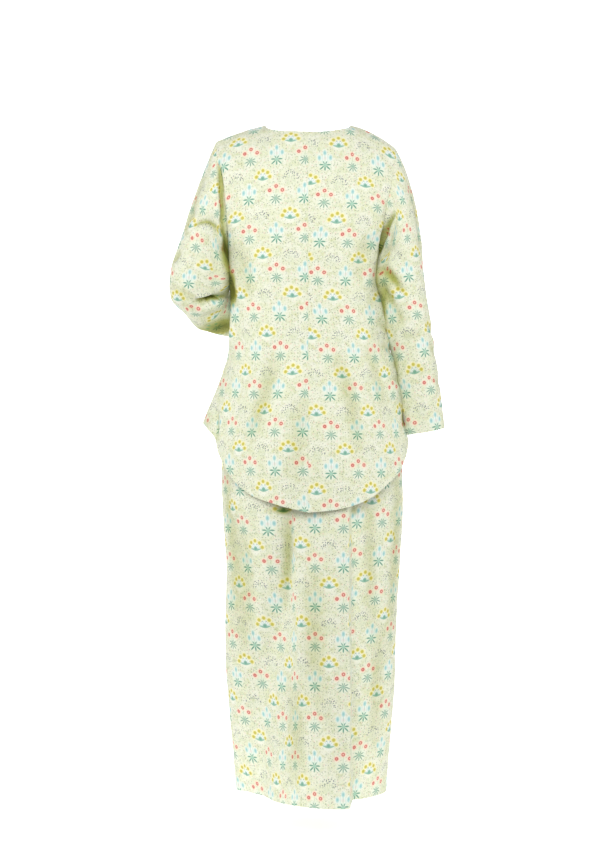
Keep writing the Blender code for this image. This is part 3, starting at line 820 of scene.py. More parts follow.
def skirt(face, across, down, top=SKIRT_TOP, bottom=SKIRT_HEM):
    """The skirt's back or front. across runs from the left seam at 0 to the right at 1."""
    back_folds = [(STEP_FOLD, True), (SOFT_FOLD, False)]
    fold_tables = back_folds if face > 0 else [(fold, False) for fold in FRONT_FOLDS]
    place = np.empty(across.shape + (3,))
    for level in np.unique(down):
        line = skirt_plan(face, top + (bottom - top) * level, fold_tables)
        run = lengths(line, 0)
        here = down == level
        place[here] = along(across[here] * run[-1], run, line)
    return place


def lengths(grid, axis):
    """How far each point lies along its row or column from the first one."""
    steps = np.linalg.norm(np.diff(grid, axis=axis), axis=-1)
    return np.insert(np.cumsum(steps, axis=axis), 0, 0, axis=axis)


def places(count, length, by_first=(), by_last=()):
    """Even places from 0 to 1, and others at given distances from the two ends."""
    extra = np.concatenate([np.array(by_first) / length, 1 - np.array(by_last) / length])
    even = np.linspace(0, 1, count + 1)
    if len(extra):
        clear = np.abs(even[:, None] - extra).min(axis=1) > PLACES_APART / length
        clear[[0, -1]] = True
        even = even[clear]
    return np.unique(np.concatenate([even, extra]))


def shared_normals(grids):
    """Directions through the cloth, the same for all panels that meet at a point."""
    spots, ways = [], []
    for grid in grids:
        corners = grid[:-1, :-1], grid[1:, :-1], grid[1:, 1:], grid[:-1, 1:]
        through = np.cross(corners[2] - corners[0], corners[1] - corners[3])
        through /= np.linalg.norm(through, axis=-1)[..., None]
        for k, corner in enumerate(corners):
            before, after = corners[k - 1] - corner, corners[(k + 1) % 4] - corner
            size = np.linalg.norm(before, axis=-1) * np.linalg.norm(after, axis=-1)
            angle = np.arccos(np.clip(np.sum(before * after, axis=-1) / size, -1, 1))
            spots.append(corner.reshape(-1, 3))
            ways.append((through * angle[..., None]).reshape(-1, 3))
    exact = [grid.reshape(-1, 3) for grid in grids]
    every = np.round(np.concatenate(spots + exact) * SPOTS_PER_METRE).astype(int)
    _, where = np.unique(every, axis=0, return_inverse=True)
    where = where.ravel()
    sums = np.zeros((where.max() + 1, 3))
    met = sum(len(part) for part in spots)
    np.add.at(sums, where[:met], np.concatenate(ways))
    sums /= np.linalg.norm(sums, axis=1).clip(NO_LENGTH)[:, None]
    found = np.split(sums[where[met:]], np.cumsum([len(part) for part in exact])[:-1])
    return [part.reshape(grid.shape) for part, grid in zip(found, grids)]


# Creases


def line_lift(place, line, reach, height):
    """How far a crease along a bent line moves the cloth at each place in its plane."""
    nearest = np.full(place.shape[:-1], np.inf)
    share = np.zeros_like(nearest)
    for k in range(len(line) - 1):
        way = line[k + 1] - line[k]
        part = np.clip((place - line[k]) @ way / (way @ way), 0, 1)
        off = np.linalg.norm(place - line[k] - part[..., None] * way, axis=-1)
        share = np.where(off < nearest, (k + part) / (len(line) - 1), share)
        nearest = np.minimum(nearest, off)
    shoulders = SHOULDER_HEIGHT * hump(nearest / reach - SHOULDER_OUT, SHOULDER_WIDTH)
    taper = np.sin(np.pi * share).clip(0) ** CREASE_TAPER
    return height * taper * (hump(nearest, reach) - shoulders)


def bent_line(a0, z0, a1, z1, a2, z2):
    """Points along a smooth bend through three points."""
    t = np.linspace(0, 1, CREASE_STEPS + 1)[:, None]
    first, middle, last = np.array((a0, z0)), np.array((a1, z1)), np.array((a2, z2))
    pull = 2 * middle - (first + last) / 2
    return (1 - t) ** 2 * first + 2 * t * (1 - t) * pull + t**2 * last


def straight_lift(place, x0, z0, x1, z1, reach, height):
    """How far a large fold along a straight line moves the cloth."""
    way = np.array((x1 - x0, z1 - z0))
    away = place - (x0, z0)
    part = np.clip(away @ way / (way @ way), 0, 1)
    return height * hump(np.linalg.norm(away - part[..., None] * way, axis=-1), reach)


def wave_lift(grid, waves):
    """The sum of many soft waves that run all ways across the cloth."""
    draw = np.random.default_rng(waves["seed"])
    total = np.zeros(grid.shape[:-1])
    for _ in range(waves["count"]):
        turn, phase = draw.uniform(0, 2 * np.pi, 2)
        way = np.array((np.cos(turn), np.sin(turn), draw.normal(0, waves["upright"])))
        length = draw.uniform(*waves["lengths"])
        total += np.sin(2 * np.pi / length * (grid @ way) + phase)
    return waves["height"] * total / np.sqrt(waves["count"])


def round_lift(grid, rows):
    """The sum of smooth round rises, each of which ends at its own reach."""
    total = np.zeros(grid.shape[:-1])
    for x, y, z, wide, deep, tall, height in rows:
        away = np.sum(((grid - (x, y, z)) / (wide, deep, tall)) ** 2, axis=-1)
        total += height * (1 - away).clip(0) ** 2
    return total


def creased(name, grid, through):
    """The grid moved by every fold, crease and wave, and the shade painted on it by its troughs
    and the table of shades.
    """
    lift = sum(wave_lift(grid, waves) for waves in WAVES)
    kind = name.split("_")[0]
    kind = kind if kind in BULGES else "body"
    lift = lift + round_lift(grid, BULGES[kind])
    lines = np.zeros_like(lift)
    for view, (toward, axis) in VIEWS.items():
        facing = ease((through @ np.array(toward, float) + FACING_FROM) / FACING_OVER)
        place = grid[..., [axis, 2]]
        for row in LARGE_FOLDS.get(view, ()):
            lift = lift + facing * straight_lift(place, *row)
        for row in CREASES[view]:
            lines += facing * line_lift(place, bent_line(*row[:6]), *row[6:])
    # Shade painted into the cloth's colour, from the depth of the crease troughs and from the
    # table of shades.
    painted_shade_depth = FOLD_SHADE_SHARE * (-lines / FOLD_SHADE_DEPTH).clip(0, 1) + round_lift(grid, SHADES[kind])
    return grid + through * (lift + lines)[..., None], painted_shade_depth.clip(0, DARKEST_PAINTED_SHADE)


def gather_lift(grid):
    """The gathers that the elastic draws into its casing and the skirt's top."""
    turn = np.arctan2(grid[..., 1], grid[..., 0])
    uneven = turn + GATHER_DRIFT * np.sin(3 * turn) + GATHER_DRIFT / 2 * np.sin(7 * turn + 1)
    fade = 1 - ease((BAND_TOP - grid[..., 2]) / GATHER_FADE)
    return GATHER_HEIGHT * np.sin(GATHERS * uneven) * fade


# Panels: each one is its grid of points and the lengths of cloth across and down it.


def even_rows(grid, first_row=0):
    """Lengths down a panel, below the given row as long all round as where it is longest."""
    down = lengths(grid, 0)
    down -= down[first_row]
    down[first_row:] = down[first_row:].max(axis=1)[:, None]
    return down


def from_level(grid, level):
    """Lengths down a panel from where each column crosses a level."""
    down = lengths(grid, 0)
    for column, z in zip(down.T, grid[..., 2].T):
        column -= np.interp(-level, -z, column)
    return np.where(down < 0, down * PRINT_RISE, down)


def from_middle(grid):
    """Lengths across a panel from where it crosses the middle of the body."""
    across = lengths(grid, 1)
    for row, x in zip(across, grid[..., 0]):
        near = np.argmin(np.abs(x))
        row -= row[near] + x[near] * np.sign(x[0] - x[-1])
    return across


def eased_flat(grid, across):
    """Lengths across the top, drawn in part toward those of cloth that lies flat."""
    upper, lower = PRINT_EASE
    share = ease((EASE_LEVELS[0] - grid[..., 2]) / np.ptp(EASE_LEVELS))
    share = upper + (lower - upper) * share
    flat = grid[..., 0] * np.sign(grid[0, -1, 0] - grid[0, 0, 0])
    return across + share * (flat - across)


def top_panels():
    """The five panels of the top, with columns running so that they face outward."""
    armhole_down = places(ARMHOLE_ROWS, ARMHOLE_LENGTH, BY_SEAM, BY_SEAM)
    side_down = places(SIDE_ROWS, SIDE_LENGTH, BY_SEAM, BY_HEM)
    down = np.concatenate(
        [ARMHOLE_SHARE * armhole_down, ARMHOLE_SHARE + (1 - ARMHOLE_SHARE) * side_down[1:]]
    )
    quarters = {}
    for side in (1, -1):
        neck = NECK_HALF / SHOULDER_TIP[side][0]
        middle = neck * np.sin(np.linspace(0, np.pi / 2, NECK_COLUMNS + 1))
        outer = neck + (1 - neck) * places(SHOULDER_COLUMNS, SHOULDER_LENGTH, (), BY_SEAM)[1:]
        seam = np.array(BY_SEAM) / SHOULDER_TIP[side][0]
        columns = np.unique(np.concatenate([middle, outer, seam]))
        for face in (1, -1):
            quarters[side, face] = top_quarter(side, face, *np.meshgrid(columns, down))
    front = np.concatenate([quarters[1, -1][:, ::-1], quarters[-1, -1][:, 1:]], axis=1)
    round_it = np.concatenate([1 - armhole_down[::-1] / 2, armhole_down[1:] / 2])
    cap_down = places(CAP_ROWS, CAP_LENGTH, BY_SEAM)
    cuff_down = places(CUFF_ROWS, CUFF_LENGTH, (), BY_HEM)
    below = np.concatenate([CAP_SHARE * cap_down, CAP_SHARE + (1 - CAP_SHARE) * cuff_down[1:]])
    sleeves = {side: sleeve(side, *np.meshgrid(round_it, below)) for side in (1, -1)}
    panels = {
        "back_left": quarters[1, 1],
        "back_right": quarters[-1, 1][:, ::-1],
        "front": front,
        "sleeve_left": sleeves[1][:, ::-1],
        "sleeve_right": sleeves[-1],
    }
    lain = {}
    for name, grid in panels.items():
        if name in TUBES:
            across, down_it = lengths(grid, 1), even_rows(grid, len(cap_down) - 1)
            across -= across[:, len(armhole_down) - 1][:, None]
        else:
            across, down_it = from_middle(grid), from_level(grid, UNDERARM)
            across = eased_flat(grid, across)
        lain[name] = (across, down_it)
    return panels, lain


def skirt_panels():
    """The skirt's back and front, and the casing round its waist."""
    down = places(SKIRT_ROWS, SKIRT_LENGTH, BY_SEAM, BY_HEM)
    across = places(SKIRT_ACROSS, SKIRT_WIDTH, BY_SEAM, BY_SEAM)
    at_step = np.linspace(*STEP_SPAN, STEP_COLUMNS)
    across_back = np.unique(np.round(np.concatenate([across, at_step]), 6))
    band_down = places(BAND_ROWS, BAND_TOP - SKIRT_TOP, (), BY_SEAM)
    band_front, band_back = (
        skirt(face, *np.meshgrid(line, band_down), BAND_TOP, SKIRT_TOP)
        for face, line in ((-1, across), (1, across_back))
    )
    panels = {
        "skirt_back": skirt(1, *np.meshgrid(across_back, down))[:, ::-1],
        "skirt_front": skirt(-1, *np.meshgrid(across, down)),
        "waistband": np.concatenate([band_front, band_back[:, ::-1][:, 1:]], axis=1),
    }
    lain = {name: (from_middle(grid), even_rows(grid)) for name, grid in panels.items()}
    lain["waistband"] = tuple(lengths(panels["waistband"], axis) for axis in (1, 0))
    return panels, lain


def print_map(name, grid, across, down):
    """The cloth's own lengths as a map, to the right and up, placed as the print falls."""
    right, up, lean = PRINT_PLACES[name]
    right, up = right - across - lean * down, up - down
    x, z = grid[..., 0], grid[..., 2]
    if name in BACK_HALVES:
        side = BACK_HALVES[name]
        right = right + side * follow(BACK_COLUMNS, SIDE_NAMES[side], z)
        up = up + follow(BACK_COLUMNS, SIDE_NAMES[side] + "_low", z)
    if name == "skirt_back":
        hidden = {key: follow(SKIRT_HIDDEN, key, z) for key in SKIRT_HIDDEN}
        left = step_up(x - hidden["x"], hidden["width"])
        beyond = step_up(follow(STEP_FOLD, "x", z) - x, 2 * FOLD_EDGE)
        right = right + left * hidden["left_across"] + beyond * hidden["right_across"]
        up = up + left * hidden["left_up"] + beyond * hidden["right_up"]
    return np.stack([right, up], -1)


def neck_distance(grid):
    """How far each point of a panel lies from its neckline."""
    line = grid[0, np.abs(grid[0, :, 0]) < NECK_HALF + NECK_MARGIN]
    at = np.arange(len(line))
    fine = np.linspace(0, at[-1], NECK_LINE_STEPS * at[-1] + 1)
    away = np.full(grid.shape[:-1], np.inf)
    for spot in along(fine, at, line):
        away = np.minimum(away, np.linalg.norm(grid - spot, axis=-1))
    return away


def edge_distance(grid, edge):
    """How far each point of a panel lies from one of its edges, along the cloth."""
    if edge == "neck":
        return neck_distance(grid)
    across, down = lengths(grid, 1), lengths(grid, 0)
    on_shoulder = np.abs(grid[:1, :, 0]) > NECK_HALF - NECK_MARGIN
    return {
        "first": across,
        "last": across[:, -1:] - across,
        "top": down,
        "bottom": down[-1:] - down,
        "shoulder": np.where(on_shoulder, down, np.inf),
    }[edge]


def skins(grid, through, form, sewn, hems):
    """The outer and inner skins of a panel, with its seams drawn in and its hems turned."""
    seam = np.minimum.reduce([edge_distance(form, edge) for edge in sewn])
    sunk = SEAM_DIP * hump(seam, SEAM_DIP_WIDTH)
    outer, inner = CLOTH_HALF - sunk, CLOTH_HALF + sunk
    for edge, turn in hems:
        away = edge_distance(form, edge)
        inner = inner + HEM_PLY * ease((turn - away) / HEM_PLY)
        outer = outer - STITCH_DIP * hump(away - turn, STITCH_DIP_WIDTH)
    return grid + through * outer[..., None], grid - through * inner[..., None]


def cell_corners(values):
    """The values at the four corners of each cell of a grid, in order round the cell."""
    corners = values[:-1, :-1], values[1:, :-1], values[1:, 1:], values[:-1, 1:]
    return np.stack(corners, 2).reshape(-1, 4, *values.shape[2:])


def on_sheet(share, sheet):
    """Places from 0 to 1 both ways, moved into a part of the sheet that is baked."""
    left, low, width, height = sheet
    return share * (width, height) + (left, low)


def linked(name, data):
    """A new object in the scene."""
    made = bpy.data.objects.new(name, data)
    bpy.context.scene.collection.objects.link(made)
    return made


def shell(name, outer, inner, cloth_map, painted_shade_depth, material, tube):
    """A closed thin shell. Its maps are the cloth's own lengths and a sheet for baking."""
    rows, columns = outer.shape[:2]
    above = np.arange(rows * columns).reshape(rows, columns)
    if tube:
        above[:, -1] = above[:, 0]
    under = above + rows * columns
    share = np.stack(np.meshgrid(np.linspace(0, 1, columns), np.linspace(1, 0, rows)), -1)
    faces = [cell_corners(above)[:, ::-1], cell_corners(under)]
    cloth = [cell_corners(cloth_map)[:, ::-1], cell_corners(cloth_map)]
    baked = [
        cell_corners(on_sheet(share, OUTER_SHEET))[:, ::-1],
        cell_corners(on_sheet(share, INNER_SHEET)),
    ]
    rims = [(np.s_[0, ::-1], 0), (np.s_[-1, :], 1)]
    if not tube:
        rims += [(np.s_[:, 0], 2), (np.s_[::-1, -1], 3)]
    for edge, place in rims:
        line, below, length = above[edge], under[edge], cloth_map[edge]
        faces.append(np.stack([line[:-1], line[1:], below[1:], below[:-1]], 1))
        cloth.append(np.stack([length[:-1], length[1:], length[1:], length[:-1]], 1))
        sides = (place / 4, (place + RIM_SHARE) / 4)
        strip = np.stack(np.meshgrid(sides, np.linspace(0, 1, len(line))), -1)
        strip = on_sheet(strip, RIM_SHEET)
        baked.append(np.stack([strip[:-1, 0], strip[1:, 0], strip[1:, 1], strip[:-1, 1]], 1))
    faces, cloth, baked = (np.concatenate(part) for part in (faces, cloth, baked))
    used, faces = np.unique(faces, return_inverse=True)
    spots = np.concatenate([outer.reshape(-1, 3), inner.reshape(-1, 3)])[used]
    mesh = bpy.data.meshes.new(name)
    mesh.from_pydata(spots, [], faces.reshape(-1, 4).tolist())
    for layer, values in ((CLOTH_MAP, cloth), (BAKE_MAP, baked)):
        mesh.uv_layers.new(name=layer).data.foreach_set("uv", values.ravel().astype(np.float32))
    # The shade painted into the cloth's colour, for both skins.
    painted_shade_depth = np.concatenate([painted_shade_depth.ravel(), painted_shade_depth.ravel()])[used]
    for layer, values in ((WRONG_SIDE, used >= rows * columns), (PAINTED_SHADE_ATTRIBUTE, painted_shade_depth)):
        attribute = mesh.attributes.new(layer, "FLOAT", "POINT")
        attribute.data.foreach_set("value", values.astype(np.float32))
    mesh.shade_smooth()
    mesh.set_sharp_from_angle(angle=SHARP_ANGLE)
    mesh.materials.append(material)
    return linked(name, mesh)


def stitch_path(outer, through, form, edge, turn):
    """Points along a hem's stitching, just proud of the cloth at the hem's turn."""
    away = edge_distance(form, edge)
    path = []
    for j in np.flatnonzero(away.min(axis=0) < turn):
        order = np.argsort(away[:, j])
        spot = along(turn, away[order, j], outer[order, j])
        row = np.argmin(np.abs(away[:, j] - turn))
        path.append(spot + through[row, j] * STITCH_LIFT)
    return np.array(path)


# Finishes. Patterns on cloth are in millimetres: u runs to the right and v upward, as seen
# from outside, on the cloth's own map.


def by(operation, *first):
    """A method that adds one Math node."""
    return lambda value, *others: value.maths(operation, *first, *others)


class Value:
    """A number that varies over a surface. Expressions on it add Math nodes."""

    def __init__(self, tree, socket):
        self.tree, self.socket = tree, socket

    def maths(self, operation, *others, clamp=False):
        node = self.tree.nodes.new("ShaderNodeMath")
        node.operation = operation
        node.use_clamp = clamp
        for slot, value in zip(node.inputs, (self, *others)):
            feed(self.tree, slot, value)
        return Value(self.tree, node.outputs[0])

    __add__ = __radd__ = by("ADD")
    __sub__ = by("SUBTRACT")
    __rsub__ = by("MULTIPLY_ADD", -1.0)
    __mul__ = __rmul__ = by("MULTIPLY")
    __truediv__ = by("DIVIDE")
    __pow__ = by("POWER")
    __mod__ = by("FLOORED_MODULO")
    __neg__ = by("MULTIPLY", -1.0)
    __abs__ = by("ABSOLUTE")
    floor = by("FLOOR")

    def within(self, edge, soft):
        """1 where this is under the edge and 0 above it, with a soft step between."""
        return self.maths("MULTIPLY_ADD", -1 / soft, edge / soft + 0.5, clamp=True)


def feed(tree, slot, value):
    """Sets a socket to a number or a colour, or links a value to it."""
    if isinstance(value, Value):
        tree.links.new(value.socket, slot)
    else:
        slot.default_value = value


class Finish:
    """A material, and the one way in which other nodes are added to it."""

    def __init__(self, name, **settings):
        self.material = bpy.data.materials.new(name)
        self.material.use_nodes = True
        self.tree = self.material.node_tree
        self.shader = self.tree.nodes["Principled BSDF"]
        for slot, value in settings.items():
            self.surface(slot.replace("_", " "), value)

    def node(self, kind, settings, inputs, output=0):
        """A node of one kind, and the value that it gives out."""
        node = self.tree.nodes.new("ShaderNode" + kind)
        for name, setting in settings.items():
            setattr(node, name, setting)
        for slot, value in inputs.items():
            feed(self.tree, node.inputs[slot], value)
        return Value(self.tree, node.outputs[output])

    def mix(self, share, first, second, blend="MIX"):
        """A colour between two, by a share from 0 to 1."""
        settings = {"data_type": "RGBA", "clamp_factor": True, "blend_type": blend}
        colours = {0: share, 6: colour(first), 7: colour(second)}
        return self.node("Mix", settings, colours, 2)

    def layers(self, tint, *laid):
        """A colour with others laid over it in turn, each by its share."""
        for share, over in laid:
            tint = self.mix(share, tint, over)
        return tint

    def surface(self, slot, value):
        """Links a value to a socket of the material's shader."""
        feed(self.tree, self.shader.inputs[slot], value)

    def noise(self, place, size, detail=2.0, turn=0.0):
        """Soft noise about a half, with patches of a given size."""
        settings = {"noise_dimensions": "3D"}
        place = self.node("VectorMath", {"operation": "ADD"}, {0: place, 1: (0.0, 0.0, turn)})
        inputs = {"Vector": place, "Scale": 1 / size, "Detail": detail}
        return self.node("TexNoise", settings, inputs)

    def dots(self, place, apart, radius, share, turn=0.0):
        """Scattered dots: a share of the cells of a given size hold one."""
        settings = {"voronoi_dimensions": "2D"}
        place = self.node("VectorMath", {"operation": "ADD"}, {0: place, 1: (turn, turn, 0.0)})
        inputs = {"Vector": place, "Scale": 1 / apart, "Randomness": DOT_SCATTER}
        away = self.node("TexVoronoi", settings, inputs, 0)
        chosen = self.node("SeparateColor", {}, {0: self.node("TexVoronoi", settings, inputs, 1)})
        dot = away.within(radius / apart, DOT_SOFT * radius / apart)
        return dot * chosen.within(share, CHOICE_SOFT)


def colour(given):
    """A colour from its screen values from 0 to 255. One that varies is left as it is."""
    if isinstance(given, Value):
        return given
    shares = np.array(given) / 255
    low, high = shares / 12.92, ((shares + 0.055) / 1.055) ** 2.4
    return (*np.where(shares <= 0.04045, low, high).tolist(), 1.0)


def lattice(u, v, below):
    """Places in the cells of the print's lattice, and 0 or 1 by turns from cell to cell."""
    column = (u / PRINT_COLUMN + 0.5).floor()
    row = (v / PRINT_ROW + below).floor()
    return u - column * PRINT_COLUMN, v - row * PRINT_ROW, (column + row) % 2.0


def distance(x, y):
    """The length of a pair of values."""
    return (x * x + y * y).maths("SQRT")


def nearest(x, y, spots):
    """The distance to the nearest of several spots, each given on one side of the middle."""
    found = [distance(abs(x) - across, y - up) for across, up in spots]
    for other in found[1:]:
        found[0] = found[0].maths("MINIMUM", other)
    return found[0]


def rosette(x, y, spikes, reach, turn):
    """A star of narrow drooping leaves round a point."""
    bent = y + x * x * 0.012
    away, angle = distance(x, bent), bent.maths("ARCTAN2", x)
    leaf = abs((angle * (spikes / 2) + turn).maths("COSINE")) ** 2.2
    wide = 0.74 + abs(angle.maths("COSINE")) * 0.28 - angle.maths("SINE") * 0.18
    return (away - leaf * wide * reach - 0.9).within(0.0, 2.2)


def ground(finish, place):
    """The print's ground: mottled cream and lime, with pale and green scrolls."""
    tint = GROUND_CREAM
    for size, detail, turn, begins, gain, over in GROUND_PATCHES:
        patches = finish.noise(place, size, detail, turn)
        tint = finish.mix((patches - begins) * gain, tint, over)
    scroll = abs(finish.noise(place, 8.0, 1.0, 80.0) - 0.5)
    return finish.layers(
        tint,
        (scroll.within(0.016, 0.014) * 0.55, SCROLL_GREEN),
        (abs(scroll - 0.05).within(0.014, 0.014) * 0.5, GROUND_PALE),
    )


def specks(finish, place, tint, clear):
    """Small dark, green and pink specks scattered over the ground."""
    for apart, radius, share, turn, strength, over in SPECKS:
        found = finish.dots(place, apart, radius, share, turn)
        tint = finish.mix(found * clear * strength, tint, over)
    return tint


def fan_motif(finish, x, y, chosen, tint):
    """Yellow heads on an arc over pale petals and a teal boat of leaves."""
    away, angle = distance(x, y), y.maths("ARCTAN2", x)
    petals = (away - 14.0).within(0.0, 3.0) * (-y).within(1.0, 2.0)
    rays = petals * (-away).within(-4.0, 1.5) * abs((angle * 7.0).maths("COSINE")) ** 3.0
    below = distance(x * 0.7, y + 4.0).within(6.0, 4.0)
    grey = nearest(x, y, FAN_DOTS).within(1.15, 0.8)
    head = nearest(x, y, FAN_HEADS)
    boat = abs(y - x * x * 0.02 + 0.6) - (1.0 - x * x / 190.0) * 2.2
    dome = distance(x * 1.25, y - 1.0).within(5.6, 1.4) * (-y).within(0.0, 1.0)
    leaves = boat.within(0.0, 0.9).maths("MAXIMUM", dome)
    heart = distance(x, y - 1.6).within(2.6, 2.0)
    return finish.layers(
        tint,
        (petals * chosen * 0.85, PETAL_WHITE),
        (rays * chosen * 0.5, PETAL_BLUE),
        (below * chosen * 0.5, GROUND_PALE),
        (grey * chosen * 0.8, DOT_GREY),
        ((head - 5.8).within(0.0, 2.6) * chosen * 0.75, HEAD_GLOW),
        (head.within(3.7, 1.8) * chosen * 0.95, HEAD_YELLOW),
        (head.within(2.0, 1.6) * chosen * 0.6, HEAD_OLIVE),
        (leaves * chosen * 0.95, LEAF_TEAL),
        (heart * chosen * 0.6, LEAF_DARK),
    )


def umbel_motif(finish, place, x, y, chosen, tint):
    """A loose half round of grey dots on thin pale stems."""
    away = distance(x, y)
    round_it = (away - 17.5).within(0.0, 2.0) * (-y).within(1.5, 2.0)
    dots = finish.dots(place, 4.2, 1.05, 0.9, 11.0) * round_it * (-away).within(-7.0, 2.0)
    stems = abs(((y + 12.0).maths("ARCTAN2", x) * 11.0).maths("COSINE")) ** 10.0
    low = (away - 12.0).within(0.0, 3.0)
    return finish.layers(
        tint, (dots * chosen, DOT_GREY), (stems * low * chosen * 0.4, SPECK_GREEN)
    )


def stalk_motifs(finish, x, y, odd, tint):
    """Three heads over a star of leaves: coral rings in one cell and blue drops in the next."""
    even = 1.0 - odd
    ring = nearest(x, y, CORAL_RINGS)
    open_it = (-x).within(6.0, 1.0) * 0.35 + 0.42
    coral = ring.within(3.7, 1.8) - ring.within(1.5, 1.5) * open_it
    haze = distance(x, y - 12.0).within(9.5, 5.0)
    streak = abs((x * 0.55 + 1.57).maths("SINE")) ** 2.0
    core = distance(x, y - 13.0).within(3.5, 3.0)
    drop = nearest(x * 1.12, (y - 15.0) * 0.72, DROPS)
    stem = abs(x).within(0.6, 0.8) * abs(y - 11.0).within(9.0, 2.0)
    glow = distance(x * 0.8, y).within(11.0, 4.0)
    grey_star = rosette(x, y, 9, 11.4, math.radians(45))
    green_star = rosette(x, y, 7, 11.6, math.radians(-45))
    heart = distance(x, y).within(3.6, 3.0)
    return finish.layers(
        tint,
        ((ring - 6.4).within(0.0, 2.6) * even * 0.7, CORAL_GLOW),
        (coral * even * 0.95, CORAL),
        (haze * odd * 0.7, PETAL_WHITE),
        (haze * streak * odd * 0.45, DROP_BLUE),
        (core * odd * 0.6, HAZE_PINK),
        ((drop - 5.6).within(0.0, 2.6) * odd * 0.6, PETAL_WHITE),
        (drop.within(3.8, 2.2) * odd * 0.9, DROP_BLUE),
        (drop.within(1.8, 2.0) * odd * 0.6, DROP_DEEP),
        (stem * 0.45, SPECK_GREEN),
        (glow * 0.45, LEAF_MIST),
        (grey_star * even * 0.95, LEAF_GREY),
        (green_star * odd * 0.95, LEAF_GREEN),
        (heart * (odd * 0.35 + 0.4), LEAF_LIGHT),
    )


def printed_cloth():
    """Crepe with the sprigged print on its right side, pale on its wrong side, with shade painted
    greener and darker into its folds.
    """
    finish = Finish("printed cloth", Roughness=0.85, Specular_IOR_Level=0.18, Sheen_Weight=0.06)
    lengths_map = finish.node("UVMap", {"uv_map": CLOTH_MAP}, {})
    place = finish.node("VectorMath", {"operation": "SCALE"}, {0: lengths_map, "Scale": 1000.0})
    u = finish.node("SeparateXYZ", {}, {0: place}, 0)
    v = finish.node("SeparateXYZ", {}, {0: place}, 1)
    fan_x, fan_y, fan = lattice(u, v, FAN_BELOW)
    stalk_x, stalk_y, blue = lattice(u - PRINT_COLUMN / 2, v - PRINT_ROW / 2, STALK_BELOW)
    umbel = 1.0 - fan
    round_fan = distance(fan_x, (fan_y - 8.0) * 1.1) - 21.0
    round_stalk = distance(stalk_x, (stalk_y - 8.0) * 0.85) - 18.0
    halo = round_fan.maths("MINIMUM", round_stalk).within(0.0, 8.0)
    tint = ground(finish, place)
    tint = finish.mix(halo * 0.22, tint, GROUND_PALE)
    tint = specks(finish, place, tint, 1.0 - halo * 0.45)
    tint = fan_motif(finish, fan_x, fan_y, fan, tint)
    tint = umbel_motif(finish, place, fan_x, fan_y, umbel, tint)
    tint = stalk_motifs(finish, stalk_x, stalk_y, blue, tint)
    wrong = finish.node("Attribute", {"attribute_name": WRONG_SIDE}, {}, 2)
    tint = finish.mix(wrong * 0.6, tint, GROUND_CREAM)
    # Shade painted into the colour: greener in creases and where other cloth shades it, darker
    # still where deepest.
    in_fold = finish.node("Attribute", {"attribute_name": PAINTED_SHADE_ATTRIBUTE}, {}, 2)
    tint = finish.mix(in_fold, tint, PAINTED_FOLD_SHADE, "MULTIPLY")
    tint = finish.mix(in_fold - 1.0, tint, PAINTED_DEEP_SHADE, "MULTIPLY")
    finish.surface("Base Color", tint)
    weave(finish, place, u, v)
    return finish.material


def weave(finish, place, u, v):
    """The fine uneven grain of the crepe, as a bump and in the roughness."""
    warp = (u * (2 * math.pi / THREAD_PITCH)).maths("SINE")
    weft = (v * (2 * math.pi / THREAD_PITCH)).maths("SINE")
    slub = finish.noise(place, 3.0, 3.0, 20.0)
    height = warp * weft * 0.5 + slub * 1.5
    inputs = {"Strength": CREPE_STRENGTH, "Distance": CREPE_HEIGHT, "Height": height}
    bump = finish.node("Bump", {}, inputs)
    finish.surface("Normal", bump)
    finish.surface("Roughness", slub * 0.2 + 0.75)


def thread():
    """Matt sewing thread in the ground's colour."""
    finish = Finish("thread", Roughness=0.6, Specular_IOR_Level=0.3)
    place = finish.node("TexCoord", {}, {}, 3)
    tint = finish.mix(finish.noise(place, THREAD_MOTTLE), THREAD_LIGHT, THREAD_DARK)
    finish.surface("Base Color", tint)
    return finish.material


# Stitching


def stitch_tree(material):
    """Geometry nodes that lay stitches along a line of points."""
    tree = bpy.data.node_groups.new("stitching", "GeometryNodeTree")
    sockets = tree.interface
    sockets.new_socket("Geometry", in_out="INPUT", socket_type="NodeSocketGeometry")
    for name in ("Pitch", "Length", "Width"):
        sockets.new_socket(name, in_out="INPUT", socket_type="NodeSocketFloat")
    sockets.new_socket("Geometry", in_out="OUTPUT", socket_type="NodeSocketGeometry")
    given, out = tree.nodes.new("NodeGroupInput"), tree.nodes.new("NodeGroupOutput")

    def step(kind, *links, **settings):
        node = tree.nodes.new(kind)
        for name, setting in settings.items():
            setattr(node, name, setting)
        for source, slot in links:
            tree.links.new(source, node.inputs[slot])
        return node

    line = step("GeometryNodeMeshToCurve", (given.outputs["Geometry"], "Mesh"))
    even = step(
        "GeometryNodeResampleCurve",
        (line.outputs[0], "Curve"),
        (given.outputs["Pitch"], "Length"),
        mode="LENGTH",
    )
    tangent = step("GeometryNodeInputTangent")
    turn = step("FunctionNodeAlignRotationToVector", (tangent.outputs[0], "Vector"), axis="X")
    bead = step("GeometryNodeMeshUVSphere")
    for slot, value in {"Segments": 6, "Rings": 5, "Radius": 0.5}.items():
        bead.inputs[slot].default_value = value
    size = step(
        "ShaderNodeCombineXYZ",
        (given.outputs["Length"], "X"),
        (given.outputs["Width"], "Y"),
        (given.outputs["Width"], "Z"),
    )
    laid = step(
        "GeometryNodeInstanceOnPoints",
        (even.outputs[0], "Points"),
        (bead.outputs["Mesh"], "Instance"),
        (turn.outputs[0], "Rotation"),
        (size.outputs[0], "Scale"),
    )
    real = step("GeometryNodeRealizeInstances", (laid.outputs[0], "Geometry"))
    finished = step("GeometryNodeSetMaterial", (real.outputs[0], "Geometry"))
    finished.inputs["Material"].default_value = material
    tree.links.new(finished.outputs[0], out.inputs[0])
    return tree


